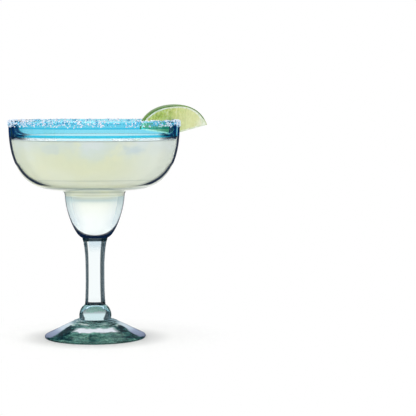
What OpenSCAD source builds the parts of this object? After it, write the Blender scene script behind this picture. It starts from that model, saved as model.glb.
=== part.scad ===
// Hand-blown margarita glass with a coloured rim, filled and dressed
// with a salt crust, three ice cubes and a wedge of lime.
// The origin is the centre of the rest plane under the foot, and +Z is up.

/* [Foot] */
// Radius of the foot at its rounded edge
foot_r = 39; // [34:0.1:44]
// Thickness of the foot at its edge
foot_edge_t = 2.4; // [2:0.1:4]
// Height of the foot where the collar sits on it
foot_h = 12.6; // [10:0.1:15]
// Width of the flat ring that the glass rests on
foot_rest_w = 5; // [3:0.5:8]
// Rise of the hollow under the foot
foot_hollow_h = 2.4; // [1.2:0.1:3.6]
// Radius of the ring scar where the blower's rod broke off
pontil_r = 6.5; // [4:0.5:9]
// Width of the ring scar
pontil_w = 1.6; // [1:0.1:2.4]
// Depth of the ring scar
pontil_t = 0.7; // [0.3:0.1:1.1]

/* [Collar] */
// Radius of the collar where it meets the foot
collar_r = 17.2; // [14.5:0.1:19]
// Height of the collar
collar_h = 2; // [1.4:0.1:4]
// How far a fold of the collar stands out
collar_fold = 0.6; // [0.2:0.1:1.2]
// Number of folds in the collar
collar_folds = 2; // [1:1:3]

/* [Knop] */
// Largest radius of the ball between foot and stem
knop_r = 12.6; // [10.5:0.1:14]
// Height of the ball between its two seats
knop_h = 11.2; // [9:0.1:13]
// Height of the ball's widest place above the collar
knop_low_h = 2.6; // [1.5:0.1:4]
// Height from the widest place to where the ball would close
knop_crown_h = 11.1; // [10.2:0.1:13]

/* [Stem] */
// Height of the stem
stem_h = 51.7; // [35:0.1:70]
// Radius of the stem at its waist
stem_waist_r = 7.4; // [5.5:0.1:7.8]
// Radius of the stem where the bowl is fused on
stem_top_r = 9.8; // [8:0.1:11]

/* [Bowl] */
// Outer radius of the small cup at its neck
cup_r = 23; // [20:0.1:26]
// Height of the small cup below the neck
cup_h = 32.8; // [26:0.1:42]
// Thickness of the wall at the neck
cup_wall_t = 4.9; // [3.5:0.1:6.5]
// Thickness of the glass under the small cup
cup_floor_t = 2.4; // [1.6:0.1:4]
// Width of the step from the small cup out to the wide bowl
neck_w = 5.3; // [3:0.1:7]
// Height of the step from the small cup up to the wide bowl
neck_h = 4.4; // [3:0.1:6.5]
// Outer radius of the wide bowl at its lip
bowl_r = 65.6; // [58:0.1:74]
// Height of the wide bowl from its floor to the centre of the lip
bowl_h = 51.8; // [42:0.1:60]
// Thickness of the wide bowl's floor
bowl_floor_t = 3.8; // [2.6:0.1:5]
// Thickness of the wall at the lip
lip_t = 2.6; // [2:0.1:3.4]
// Height of the coloured band, measured down from the top of the lip
band_h = 12; // [8:0.5:20]

/* [Salt] */
// Thickness of the salt crust
salt_t = 0.9; // [0.5:0.1:1.4]
// How far the crust reaches down the outside, from the centre of the lip
salt_outside_h = 3.6; // [2:0.1:6]
// How far the crust reaches down the inside, from the centre of the lip
salt_inside_h = 2.6; // [1.5:0.1:5]

/* [Drink] */
// Depth of the drink's surface below the top of the lip
headspace_h = 14.2; // [9:0.1:22]

/* [Ice] */
// Edge length of the largest cube
ice_w = 20; // [16:0.5:22]
// How far the cubes stand out of the drink
ice_proud_h = 1.4; // [0.4:0.1:2]

/* [Lime] */
// Radius of the whole lime
lime_r = 23.6; // [18:0.1:26]
// Half the length of the whole lime, without its tip
lime_half_l = 28; // [22:0.2:30]
// Length of the nipple at the lime's outer tip
lime_tip_l = 2.8; // [1:0.1:4]
// Angle of the wedge in degrees
lime_wedge = 50; // [40:1:60]
// Thickness of the green zest
zest_t = 0.8; // [0.5:0.1:1.2]
// Thickness of the white pith
pith_t = 1.3; // [0.8:0.1:2.2]
// Thickness of the white core strip along the wedge's edge
core_t = 1.3; // [0.8:0.1:2]
// Depth of the slit that sits on the rim
slit_h = 11.9; // [8:0.1:14]
// Direction of the wedge round the rim in degrees
lime_azimuth = 19; // [10:1:30]

/* [Hidden] */
$fn = 96;

// Gap between the glass and what is poured or crusted on it
film_gap = 0.05;
// Gap round each ice cube, and between the lime's slit and the rim
loose_gap = 0.3;

// Points along one smooth stretch of an outline
arc_steps = 14;

// Shape numbers of the curves, where 2 is an ellipse and more is squarer
cup_power = 1.55;
bowl_power = 2.48;
salt_power = 3;
// Shape numbers of the stem's two flares and its waist's place
stem_foot_power = 2.2;
stem_top_power = 3.2;
stem_waist_share = 0.4;

// Heights of the seats between the pieces
collar_z = foot_h;
knop_z = collar_z + collar_h;
stem_z = knop_z + knop_h;
cup_z = stem_z + stem_h;
neck_z = cup_z + cup_h;
floor_z = neck_z + neck_h;
lip_z = floor_z + bowl_h;
rim_z = lip_z + lip_t / 2;
band_z = rim_z - band_h;
drink_z = rim_z - headspace_h;

// Radii that follow from the sizes above
edge_r = foot_edge_t / 2;
hollow_r = foot_r - edge_r - foot_rest_w;
knop_foot_r = knop_r * sqrt(1 - pow(knop_low_h / knop_crown_h, 2));
knop_top_r = knop_r * sqrt(1 - pow((knop_h - knop_low_h) / knop_crown_h, 2));
cup_in_r = cup_r - cup_wall_t;
bowl_root_r = cup_r + neck_w;
lip_mid_r = bowl_r - lip_t / 2;

// A quarter curve round a centre, from angle a to angle b, where 0 is straight out and 90
// straight down. The reach is across and the drop is down.
function quarter(centre_r, centre_z, reach, drop, power, a, b) = [
    for (i = [0 : arc_steps])
        let (t = a + (b - a) * i / arc_steps)
        [centre_r + reach * pow(max(0, cos(t)), 2 / power),
         centre_z - drop * pow(max(0, sin(t)), 2 / power)]
];

// The angle at which such a curve passes a given depth below its centre
function depth_angle(depth, drop, power) = asin(pow(depth / drop, power / 2));

// Points of a circle's arc
function arc(centre_r, centre_z, r, a, b) = [
    for (i = [0 : arc_steps])
        let (t = a + (b - a) * i / arc_steps)
        [centre_r + r * cos(t), centre_z + r * sin(t)]
];

// The same points in the other order
function reversed(points) = [for (i = [len(points) - 1 : -1 : 0]) points[i]];

// Outer wall of the bowl, from a depth below the lip's centre down to the stem
function bowl_outside(depth) = concat(
    quarter(bowl_root_r, lip_z, bowl_r - bowl_root_r, bowl_h, bowl_power,
        depth_angle(depth, bowl_h, bowl_power), 90),
    [for (i = [1 : arc_steps])
        let (t = 90 - 90 * i / arc_steps)
        [bowl_root_r - neck_w * cos(t), neck_z + neck_h * sin(t)]],
    [for (p = quarter(stem_top_r, neck_z, cup_r - stem_top_r, cup_h, cup_power, 0, 90))
        if (p[1] < neck_z) p]
);

// Inner wall of the bowl, from a depth below the lip's centre down to the floor of the
// small cup, moved in by a gap
function bowl_inside(depth, gap = 0) =
    let (drop = bowl_h - bowl_floor_t - gap,
         cup_drop = cup_h - cup_floor_t - gap,
         step_h = neck_h + bowl_floor_t + gap,
         cup_r_here = cup_in_r - gap,
         step_w = bowl_root_r - cup_r_here)
    concat(
        quarter(bowl_root_r, lip_z, bowl_r - lip_t - gap - bowl_root_r, drop, bowl_power,
            depth_angle(depth, drop, bowl_power), 90),
        [for (i = [1 : arc_steps])
            let (t = 90 - 90 * i / arc_steps)
            [bowl_root_r - step_w * cos(t), neck_z + step_h * sin(t)]],
        [for (p = quarter(0, neck_z, cup_r_here, cup_drop, 2, 0, 90)) if (p[1] < neck_z) p]
    );

// Height of the foot's underside at a radius, with the ring scar
function under_z(r) = foot_hollow_h * (1 - pow(r / hollow_r, 2))
    - pontil_t * max(0, 1 - pow((r - pontil_r) / (pontil_w / 2), 2));

// Radii of even points between two radii
function radii(a, b, steps) = [for (i = [0 : steps]) a + (b - a) * i / steps];

module foot() {
    slope_a = atan2(foot_h - foot_edge_t, foot_r - edge_r - collar_r);
    rest_r = foot_r - edge_r;
    scar = concat(
        radii(0, pontil_r - pontil_w / 2, 3),
        radii(pontil_r - pontil_w / 2, pontil_r + pontil_w / 2, 6),
        radii(pontil_r + pontil_w / 2, hollow_r, 9));
    under = [for (i = [0 : len(scar) - 1]) if (i == 0 || scar[i] > scar[i - 1])
        [scar[i], under_z(scar[i])]];
    color([0.42, 0.60, 0.58])
    rotate_extrude()
        polygon(concat(
            under,
            arc(rest_r, edge_r, edge_r, -90, 90 - slope_a),
            [[collar_r, foot_h], [0, foot_h]]));
}

module collar() {
    steps = 8 * collar_folds;
    color([0.50, 0.66, 0.64])
    translate([0, 0, collar_z])
    rotate_extrude()
        polygon(concat(
            [[0, 0]],
            [for (i = [0 : steps])
                let (t = i / steps)
                [collar_r + (knop_foot_r - collar_r) * t
                    + collar_fold * abs(sin(180 * collar_folds * t)),
                 collar_h * t]],
            [[0, collar_h]]));
}

module knop() {
    steps = 2 * arc_steps;
    color([0.66, 0.78, 0.78])
    translate([0, 0, knop_z])
    rotate_extrude()
        polygon(concat(
            [[0, 0]],
            [for (i = [0 : steps])
                let (z = knop_h * i / steps)
                [knop_r * sqrt(1 - pow((z - knop_low_h) / knop_crown_h, 2)), z]],
            [[0, knop_h]]));
}

// Radius of the stem at a share of its height
function stem_r(share) = share < stem_waist_share
    ? stem_waist_r + (knop_top_r - stem_waist_r)
        * pow(1 - share / stem_waist_share, stem_foot_power)
    : stem_waist_r + (stem_top_r - stem_waist_r)
        * pow((share - stem_waist_share) / (1 - stem_waist_share), stem_top_power);

module stem() {
    steps = 2 * arc_steps;
    color([0.80, 0.90, 0.91])
    translate([0, 0, stem_z])
    rotate_extrude()
        polygon(concat(
            [[0, 0]],
            [for (i = [0 : steps]) [stem_r(i / steps), stem_h * i / steps]],
            [[0, stem_h]]));
}

module bowl() {
    color([0.82, 0.91, 0.92, 0.5])
    rotate_extrude()
        polygon(concat(
            bowl_outside(lip_z - band_z),
            [[0, cup_z]],
            reversed(bowl_inside(lip_z - band_z))));
}

// Walls of the rim between the band's seat and the lip's centre, the outer one going up
function rim_outside(depth) = reversed(quarter(bowl_root_r, lip_z, bowl_r - bowl_root_r,
    bowl_h, bowl_power, 0, depth_angle(depth, bowl_h, bowl_power)));
function rim_inside(depth) = quarter(bowl_root_r, lip_z, bowl_r - lip_t - bowl_root_r,
    bowl_h - bowl_floor_t, bowl_power,
    0, depth_angle(depth, bowl_h - bowl_floor_t, bowl_power));

module rim_band() {
    lip = arc(lip_mid_r, lip_z, lip_t / 2, 0, 180);
    color([0.30, 0.78, 0.90, 0.6])
    rotate_extrude()
        polygon(concat(
            rim_outside(lip_z - band_z),
            [for (i = [1 : len(lip) - 2]) lip[i]],
            rim_inside(lip_z - band_z)));
}

// Thickness of the crust at a share of the way from the lip down to its lower edge
function crust_t(share) = salt_t * pow(1 - pow(share, salt_power), 1 / salt_power);

module salt_rim() {
    inner_r = lip_t / 2 + film_gap;
    outer_r = lip_t / 2 + salt_t;
    out_wall = rim_outside(salt_outside_h);
    in_wall = rim_inside(salt_inside_h);
    n = len(out_wall) - 1;
    section = concat(
        [for (i = [0 : n - 1]) out_wall[i]
            + [max(film_gap, crust_t((lip_z - out_wall[i][1]) / salt_outside_h)), 0]],
        arc(lip_mid_r, lip_z, outer_r, 0, 180),
        [for (i = [1 : n]) in_wall[i]
            - [max(film_gap, crust_t((lip_z - in_wall[i][1]) / salt_inside_h)), 0]],
        [for (i = [n - 1 : -1 : 1]) in_wall[i] - [film_gap, 0]],
        arc(lip_mid_r, lip_z, inner_r, 180, 0),
        [for (i = [n - 1 : -1 : 1]) out_wall[i] + [film_gap, 0]]);
    color([0.90, 0.97, 0.99])
    rotate([0, 0, lime_azimuth + crust_back_a])
    rotate_extrude(angle = 360 - crust_front_a - crust_back_a)
        polygon(section);
}

// Places of the ice cubes, each as a share of the bowl's radius out from the axis, a
// direction in degrees, a turn in degrees and a share of the largest cube's size
ice_shares = [[0.62, 197, 12, 1], [0.58, -52, 33, 0.95], [0.66, -13, 8, 0.8]];
// Radius that rounds a cube's corners, as a share of its size
ice_round_share = 0.66;

module ice_place(i) {
    s = ice_shares[i];
    size = ice_w * s[3];
    rotate([0, 0, s[1]])
    translate([bowl_r * s[0], 0, drink_z + ice_proud_h - size / 2])
    rotate([0, 0, s[2]])
    children();
}

module ice_cube(i) {
    size = ice_w * ice_shares[i][3];
    color([0.88, 0.94, 0.96, 0.6])
    ice_place(i)
    intersection() {
        cube(size, center = true);
        sphere(r = size * ice_round_share);
    }
}

// Space that a cube needs in the drink, open at the top so that the cube lifts out
module ice_pocket(i) {
    size = ice_w * ice_shares[i][3];
    round_r = size * ice_round_share + loose_gap;
    wide = size + 2 * loose_gap;
    ice_place(i)
    intersection() {
        translate([-wide / 2, -wide / 2, -wide / 2]) cube([wide, wide, 2 * wide]);
        union() {
            sphere(r = round_r);
            cylinder(r = round_r, h = 2 * wide);
        }
    }
}

module drink() {
    color([0.86, 0.88, 0.76])
    difference() {
        rotate_extrude()
            polygon(concat([[0, drink_z]], bowl_inside(lip_z - drink_z, film_gap)));
        for (i = [0 : len(ice_shares) - 1]) ice_pocket(i);
    }
}

// Height of the two ends of the wedge's edge above its middle, as a share of the radius
lime_bow_share = 0.24;
lime_bow_a = atan(lime_r * lime_bow_share / lime_half_l);
// Rise of the wedge towards its outer tip, and its lean to the back, in degrees
lime_rise = 2.5;
lime_lean = 8;
// Offset of the wedge's middle outwards from the wall, as a share of its half length
lime_out_share = 0.035;
// Sharpness of the tip, and the shape number of the lime's outline
tip_power = 18;
lime_power = 2.18;
// Directions of the two membranes in the wedge, as shares of its angle from the middle
membrane_shares = [-0.18, 0.32];
// Angle that a membrane takes up, in degrees
membrane_a = 1.2;
// Radius of a sector's outline, past the rind
sector_r = lime_r + lime_half_l;
// Height of the middle of the wedge's edge
lime_z = rim_z + loose_gap - slit_h;
// Angles of the gap in the salt crust where the wedge sits, in front of it and behind it
function crust_gap_a(lean) = asin(
    ((slit_h + salt_t) * tan(lime_wedge / 2 + lean) + loose_gap + salt_t) / bowl_r);
crust_front_a = crust_gap_a(-lime_lean);
crust_back_a = crust_gap_a(lime_lean);

// Puts a shape in its place on the rim from its own frame, where x runs along the wedge,
// z is up from the wedge's edge and the origin is on the wall's centre line
module on_rim() {
    rotate([0, 0, lime_azimuth])
    translate([lip_mid_r, 0, lime_z])
    rotate([0, -lime_rise, 0])
    rotate([-lime_lean, 0, 0])
    children();
}

// The whole lime, smaller by an inset, with a tip of the given length
module whole_lime(inset, tip_l) {
    half_l = lime_half_l - inset;
    r = lime_r - inset;
    steps = 2 * arc_steps;
    translate([lime_half_l * lime_out_share, 0, 0])
    rotate([0, 90, 0])
    rotate_extrude()
        polygon([for (i = [0 : steps])
            let (t = 180 * i / steps,
                 c = cos(t))
            [r * pow(max(0, sin(t)), 2 / lime_power),
             sign(-c) * half_l * pow(abs(c), 2 / lime_power)
                + tip_l * pow((1 - c) / 2, tip_power)]]);
}

// The part of the lime between two angles about the wedge's bent edge and beyond a
// distance from it. Each half of the wedge is turned up from its middle.
module sector(a, b, near = 0) {
    for (side = [-1, 1])
        intersection() {
            translate([side * sector_r, 0, 0]) cube(2 * sector_r, center = true);
            rotate([0, -side * lime_bow_a, 0])
            rotate([90, 0, 90])
            linear_extrude(height = 4 * sector_r, center = true)
                polygon(concat(
                    near > 0 ? [near * [sin(b), cos(b)], near * [sin(a), cos(a)]] : [[0, 0]],
                    sector_r * [[sin(a), cos(a)], [sin(b), cos(b)]]));
        }
}

// The slit, as the ring of the rim with room round it
module rim_slit() {
    rotate([0, 0, lime_azimuth - crust_front_a - crust_back_a])
    rotate_extrude(angle = 2 * (crust_front_a + crust_back_a))
        translate([bowl_r - lip_t - loose_gap, lime_z - lime_r])
        square([lip_t + 2 * loose_gap, rim_z + loose_gap - lime_z + lime_r]);
}

module lime_zest() {
    color([0.38, 0.55, 0.22])
    difference() {
        on_rim()
            difference() {
                intersection() {
                    whole_lime(0, lime_tip_l);
                    sector(-lime_wedge / 2, lime_wedge / 2);
                }
                whole_lime(zest_t, lime_tip_l);
            }
        rim_slit();
    }
}

module lime_pith() {
    color([0.93, 0.95, 0.86])
    difference() {
        on_rim()
            difference() {
                intersection() {
                    whole_lime(zest_t, lime_tip_l);
                    sector(-lime_wedge / 2, lime_wedge / 2);
                }
                whole_lime(zest_t + pith_t, 0);
            }
        rim_slit();
    }
}

module lime_membrane() {
    color([0.90, 0.94, 0.80])
    difference() {
        on_rim()
            intersection() {
                whole_lime(zest_t + pith_t, 0);
                difference() {
                    sector(-lime_wedge / 2, lime_wedge / 2);
                    for (i = [0 : 2]) sector(segment_from(i), segment_to(i), core_t);
                }
            }
        rim_slit();
    }
}

// The two angles between which a segment lies
function segment_from(i) = i == 0
    ? -lime_wedge / 2
    : lime_wedge * membrane_shares[i - 1] + membrane_a / 2;
function segment_to(i) = i == 2
    ? lime_wedge / 2
    : lime_wedge * membrane_shares[i] - membrane_a / 2;

module lime_segment(i) {
    color([0.76, 0.84, 0.45])
    difference() {
        on_rim()
            intersection() {
                whole_lime(zest_t + pith_t, 0);
                sector(segment_from(i), segment_to(i), core_t);
            }
        rim_slit();
    }
}

foot();
collar();
knop();
stem();
bowl();
rim_band();
salt_rim();
drink();
ice_cube(0);  // ice_cube_1
ice_cube(1);  // ice_cube_2
ice_cube(2);  // ice_cube_3
lime_zest();
lime_pith();
lime_membrane();
lime_segment(0);  // lime_segment_1
lime_segment(1);  // lime_segment_2
lime_segment(2);  // lime_segment_3
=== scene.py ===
"""Looks of a hand-blown margarita glass: its glass, drink, ice, salt crust and lime wedge.

All sizes are in metres. The origin is the centre of the rest plane under the foot, +Z is
up and +Y is away from the camera.
"""

import logging
import math
import random
from dataclasses import dataclass, field
from enum import Enum
from typing import Callable

import bpy
from mathutils import Matrix, Vector, noise

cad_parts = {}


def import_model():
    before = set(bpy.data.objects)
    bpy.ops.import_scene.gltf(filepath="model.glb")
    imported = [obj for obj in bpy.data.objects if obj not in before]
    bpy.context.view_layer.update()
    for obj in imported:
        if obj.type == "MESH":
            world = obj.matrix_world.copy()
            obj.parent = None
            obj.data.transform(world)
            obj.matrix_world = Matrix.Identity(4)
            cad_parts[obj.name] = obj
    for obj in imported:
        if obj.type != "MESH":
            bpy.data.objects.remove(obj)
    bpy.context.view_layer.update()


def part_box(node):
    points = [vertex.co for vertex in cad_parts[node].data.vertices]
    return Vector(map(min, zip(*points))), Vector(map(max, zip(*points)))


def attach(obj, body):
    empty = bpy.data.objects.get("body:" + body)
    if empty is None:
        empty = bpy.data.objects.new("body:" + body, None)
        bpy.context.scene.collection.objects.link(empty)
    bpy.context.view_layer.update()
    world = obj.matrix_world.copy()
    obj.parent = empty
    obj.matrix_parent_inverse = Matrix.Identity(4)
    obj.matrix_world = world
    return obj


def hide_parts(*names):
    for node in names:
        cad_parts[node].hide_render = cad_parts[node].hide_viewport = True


LOG = logging.getLogger("margarita_glass")
MM = 0.001
SAME_PLACE = 1e-6
CLEAR = (1.0, 1.0, 1.0)

Point = tuple[float, float]
Colour = tuple[float, float, float]
Socket = bpy.types.NodeSocket
Stops = tuple[tuple[float, object], ...]


class Body(Enum):
    """The bodies that pieces ride on."""

    GLASS = "glass"
    ICE_1 = "ice_1"
    ICE_2 = "ice_2"
    ICE_3 = "ice_3"
    LIME = "lime_wedge"


class Slot(Enum):
    """The material slots that pieces belong to."""

    CLEAR = "clear_glass"
    FOOT = "foot_glass"
    AQUA = "aqua_glass"
    SALT = "salt"
    DRINK = "drink"
    ICE = "ice"
    ZEST = "lime_zest"
    PITH = "lime_pith"
    FLESH = "lime_flesh"


def linear(red: int, green: int, blue: int) -> Colour:
    """Turns a screen colour into the linear colour that the shaders use.

    Args:
        red: Red from 0 to 255.
        green: Green from 0 to 255.
        blue: Blue from 0 to 255.

    Returns:
        The linear red, green and blue from 0 to 1.
    """
    shares = (value / 255 for value in (red, green, blue))
    return tuple(s / 12.92 if s <= 0.04045 else ((s + 0.055) / 1.055) ** 2.4 for s in shares)


def under_glass(red: int, green: int, blue: int, lit: float = 0.72) -> Colour:
    """Gives the colour that a matt surface touching glass needs to show a screen colour.

    Glass keeps much of the light that a surface behind it gives off, so the surface has
    to be paler than it looks.

    Args:
        red: Red from 0 to 255.
        green: Green from 0 to 255.
        blue: Blue from 0 to 255.
        lit: How light a white surface looks there when nothing adds to it.

    Returns:
        The linear colour of the surface.
    """
    kept, palest = 0.595, 0.985
    return tuple(
        min(palest, (math.sqrt(1 + 4 * kept * share / lit) - 1) / (2 * kept))
        for share in linear(red, green, blue))


def smooth(value: float, low: float, high: float) -> float:
    """Rises smoothly from 0 at low to 1 at high."""
    share = min(1.0, max(0.0, (value - low) / (high - low)))
    return share * share * (3 - 2 * share)


def swell(place: Vector, width: float, shift: float = 0) -> float:
    """Rises and falls from 0 to 1 between places, over about a width."""
    return noise.noise(place / width + Vector((shift, 0, 0))) * 0.5 + 0.5


def off_axis(place: Vector) -> float:
    """Gives the distance of a place from the Z axis."""
    return math.hypot(place.x, place.y)


def widened(place: Vector, share: float) -> Vector:
    """Gives a place with its distance from the Z axis times a share."""
    return Vector((place.x * share, place.y * share, place.z))


def degrees_turn(angle: float, axis: str) -> Matrix:
    """Gives the turn about an axis by an angle in degrees."""
    return Matrix.Rotation(math.radians(angle), 4, axis)


def deselect_all() -> None:
    """Leaves edit mode and deselects every object."""
    if bpy.context.object and bpy.context.object.mode != "OBJECT":
        bpy.ops.object.mode_set(mode="OBJECT")
    bpy.ops.object.select_all(action="DESELECT")


def pick(piece: bpy.types.Object) -> None:
    """Makes one object the only one selected, and the active one.

    Args:
        piece: The object.
    """
    deselect_all()
    piece.select_set(True)
    bpy.context.view_layer.objects.active = piece


def new_cube(name: str, size: float = 1) -> bpy.types.Object:
    """Adds a cube at the origin.

    Args:
        name: Name of the new object.
        size: Width of the cube.

    Returns:
        The cube, selected.
    """
    deselect_all()
    bpy.ops.mesh.primitive_cube_add(size=size, location=(0, 0, 0))
    bpy.context.object.name = name
    return bpy.context.object


def apply_modifier(piece: bpy.types.Object, kind: str, **settings: object) -> None:
    """Adds a modifier to a piece and applies it.

    Args:
        piece: The object that gets the modifier.
        kind: The modifier's type.
        **settings: Values of the modifier's own settings.
    """
    pick(piece)
    modifier = piece.modifiers.new(kind.title(), kind)
    for key, value in settings.items():
        setattr(modifier, key, value)
    bpy.ops.object.modifier_apply(modifier=modifier.name)


def tidy_mesh(piece: bpy.types.Object) -> None:
    """Merges double vertices, drops loose edges and turns all faces outwards.

    Args:
        piece: The mesh object.
    """
    pick(piece)
    bpy.ops.object.mode_set(mode="EDIT")
    bpy.ops.mesh.select_all(action="SELECT")
    bpy.ops.mesh.remove_doubles(threshold=SAME_PLACE)
    bpy.ops.mesh.delete_loose()
    bpy.ops.mesh.select_all(action="SELECT")
    bpy.ops.mesh.normals_make_consistent(inside=False)
    bpy.ops.object.mode_set(mode="OBJECT")


def shade(piece: bpy.types.Object, angle: float) -> None:
    """Shades a piece smooth, except over edges sharper than an angle in degrees."""
    pick(piece)
    bpy.ops.object.shade_smooth_by_angle(angle=math.radians(angle))


def join(pieces: list[bpy.types.Object], name: str) -> bpy.types.Object:
    """Joins objects into one.

    Args:
        pieces: The objects.
        name: Name of the joined object.

    Returns:
        The joined object.
    """
    deselect_all()
    for piece in pieces:
        piece.select_set(True)
    bpy.context.view_layer.objects.active = pieces[0]
    bpy.ops.object.join()
    pieces[0].name = name
    return pieces[0]


def remove(pieces: list[bpy.types.Object]) -> None:
    """Removes helper objects.

    Args:
        pieces: The objects.
    """
    deselect_all()
    for piece in pieces:
        piece.select_set(True)
    bpy.ops.object.delete()


def dress(
    piece: bpy.types.Object, node: str, body: Body, slot: Slot, finish: bpy.types.Material
) -> None:
    """Gives a piece its finish and its place in the frame.

    Args:
        piece: The finished mesh.
        node: Name of the part's node that it replaces.
        body: Body that it rides on.
        slot: Material slot that it belongs to; not used.
        finish: Its material.
    """
    piece.data.materials.clear()
    piece.data.materials.append(finish)
    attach(piece, body.value)
    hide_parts(node)
    LOG.info("built %s with %d faces", piece.name, len(piece.data.polygons))


def lathe(name: str, outline: list[Point], steps: int) -> bpy.types.Object:
    """Spins a closed outline once round the Z axis.

    Args:
        name: Name of the new object.
        outline: Radius and height of each corner, in order round the section.
        steps: Number of faces round the axis.

    Returns:
        A closed mesh object with its faces pointing outwards.
    """
    deselect_all()
    bpy.ops.mesh.primitive_circle_add(vertices=len(outline), radius=1, fill_type="NOTHING")
    piece = bpy.context.object
    piece.name = name
    for vertex, (radius, height) in zip(piece.data.vertices, outline):
        vertex.co = (radius, 0, height)
    bpy.ops.object.mode_set(mode="EDIT")
    bpy.ops.mesh.select_all(action="SELECT")
    bpy.ops.mesh.spin(steps=steps, angle=math.tau, center=(0, 0, 0), axis=(0, 0, 1))
    bpy.ops.object.mode_set(mode="OBJECT")
    tidy_mesh(piece)
    return piece


def turned(
    name: str, outline: list[Point], steps: int, move: Callable[[Vector], Vector], angle: float
) -> bpy.types.Object:
    """Turns a piece, moves each of its corners and shades it.

    Args:
        name: Name of the new object.
        outline: Radius and height of each corner, in order round the section.
        steps: Number of faces round the axis.
        move: Gives the new place of a corner.
        angle: Sharpest edge that is shaded smooth, in degrees.

    Returns:
        The finished mesh object.
    """
    piece = lathe(name, outline, steps)
    for vertex in piece.data.vertices:
        vertex.co = move(vertex.co)
    shade(piece, angle)
    return piece


def warped_block(
    name: str, cuts: tuple[int, int, int], place: Callable[[float, float, float], Vector]
) -> bpy.types.Object:
    """Cuts a cube into a grid on each side and moves every corner of the grid.

    Args:
        name: Name of the new object.
        cuts: Number of cuts along x, y and z.
        place: Gives a corner's place from its shares from 0 to 1 along x, y and z.

    Returns:
        A closed mesh object with the x and z shares as its UV map.
    """
    piece = new_cube(name)
    mesh = piece.data
    for axis, number in enumerate(cuts):
        if not number:
            continue
        bpy.ops.object.mode_set(mode="EDIT")
        bpy.ops.mesh.select_mode(type="EDGE")
        bpy.ops.mesh.select_all(action="DESELECT")
        bpy.ops.object.mode_set(mode="OBJECT")
        for edge in mesh.edges:
            start, end = (mesh.vertices[i].co for i in edge.vertices)
            edge.select = abs(start[axis] - end[axis]) > 0.5
        bpy.ops.object.mode_set(mode="EDIT")
        bpy.ops.mesh.subdivide(number_cuts=number)
        bpy.ops.mesh.select_mode(type="VERT")
        bpy.ops.object.mode_set(mode="OBJECT")
    shares = [vertex.co + Vector((0.5, 0.5, 0.5)) for vertex in mesh.vertices]
    layer = mesh.uv_layers.active
    for loop in mesh.loops:
        share = shares[loop.vertex_index]
        layer.data[loop.index].uv = (share.x, share.z)
    for vertex, share in zip(mesh.vertices, shares):
        vertex.co = place(*share)
    tidy_mesh(piece)
    return piece


def quarter(
    centre: Point, reach: float, drop: float, power: float, start: float, steps: int = 40
) -> list[Point]:
    """Gives points of a quarter curve that falls from beside its centre to below it.

    Args:
        centre: Radius and height of the curve's centre.
        reach: Half width of the curve.
        drop: Height of the curve.
        power: Shape number, where 2 is an ellipse and more is squarer.
        start: Depth below the centre at which the points start.
        steps: Number of stretches.

    Returns:
        The points in order, from the side down to the bottom.
    """
    first = math.asin((start / drop) ** (power / 2))
    points = []
    for i in range(steps + 1):
        turn = first + (math.pi / 2 - first) * i / steps
        across = max(0.0, math.cos(turn)) ** (2 / power)
        down = math.sin(turn) ** (2 / power)
        points.append((centre[0] + reach * across, centre[1] - drop * down))
    return points


def step_curve(root: float, low: float, width: float, height: float) -> list[Point]:
    """Gives points of the hollow quarter step that falls from the bowl's floor into the cup."""
    turns = [math.pi / 2 * (1 - i / 16) for i in range(17)]
    return [(root - width * math.cos(t), low + height * math.sin(t)) for t in turns]


def arc(centre: Point, radius: float, start: float, end: float, steps: int = 12) -> list[Point]:
    """Gives points of a circle's arc between two angles in degrees."""
    turns = [math.radians(start + (end - start) * i / steps) for i in range(steps + 1)]
    return [(centre[0] + radius * math.cos(t), centre[1] + radius * math.sin(t)) for t in turns]


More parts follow.
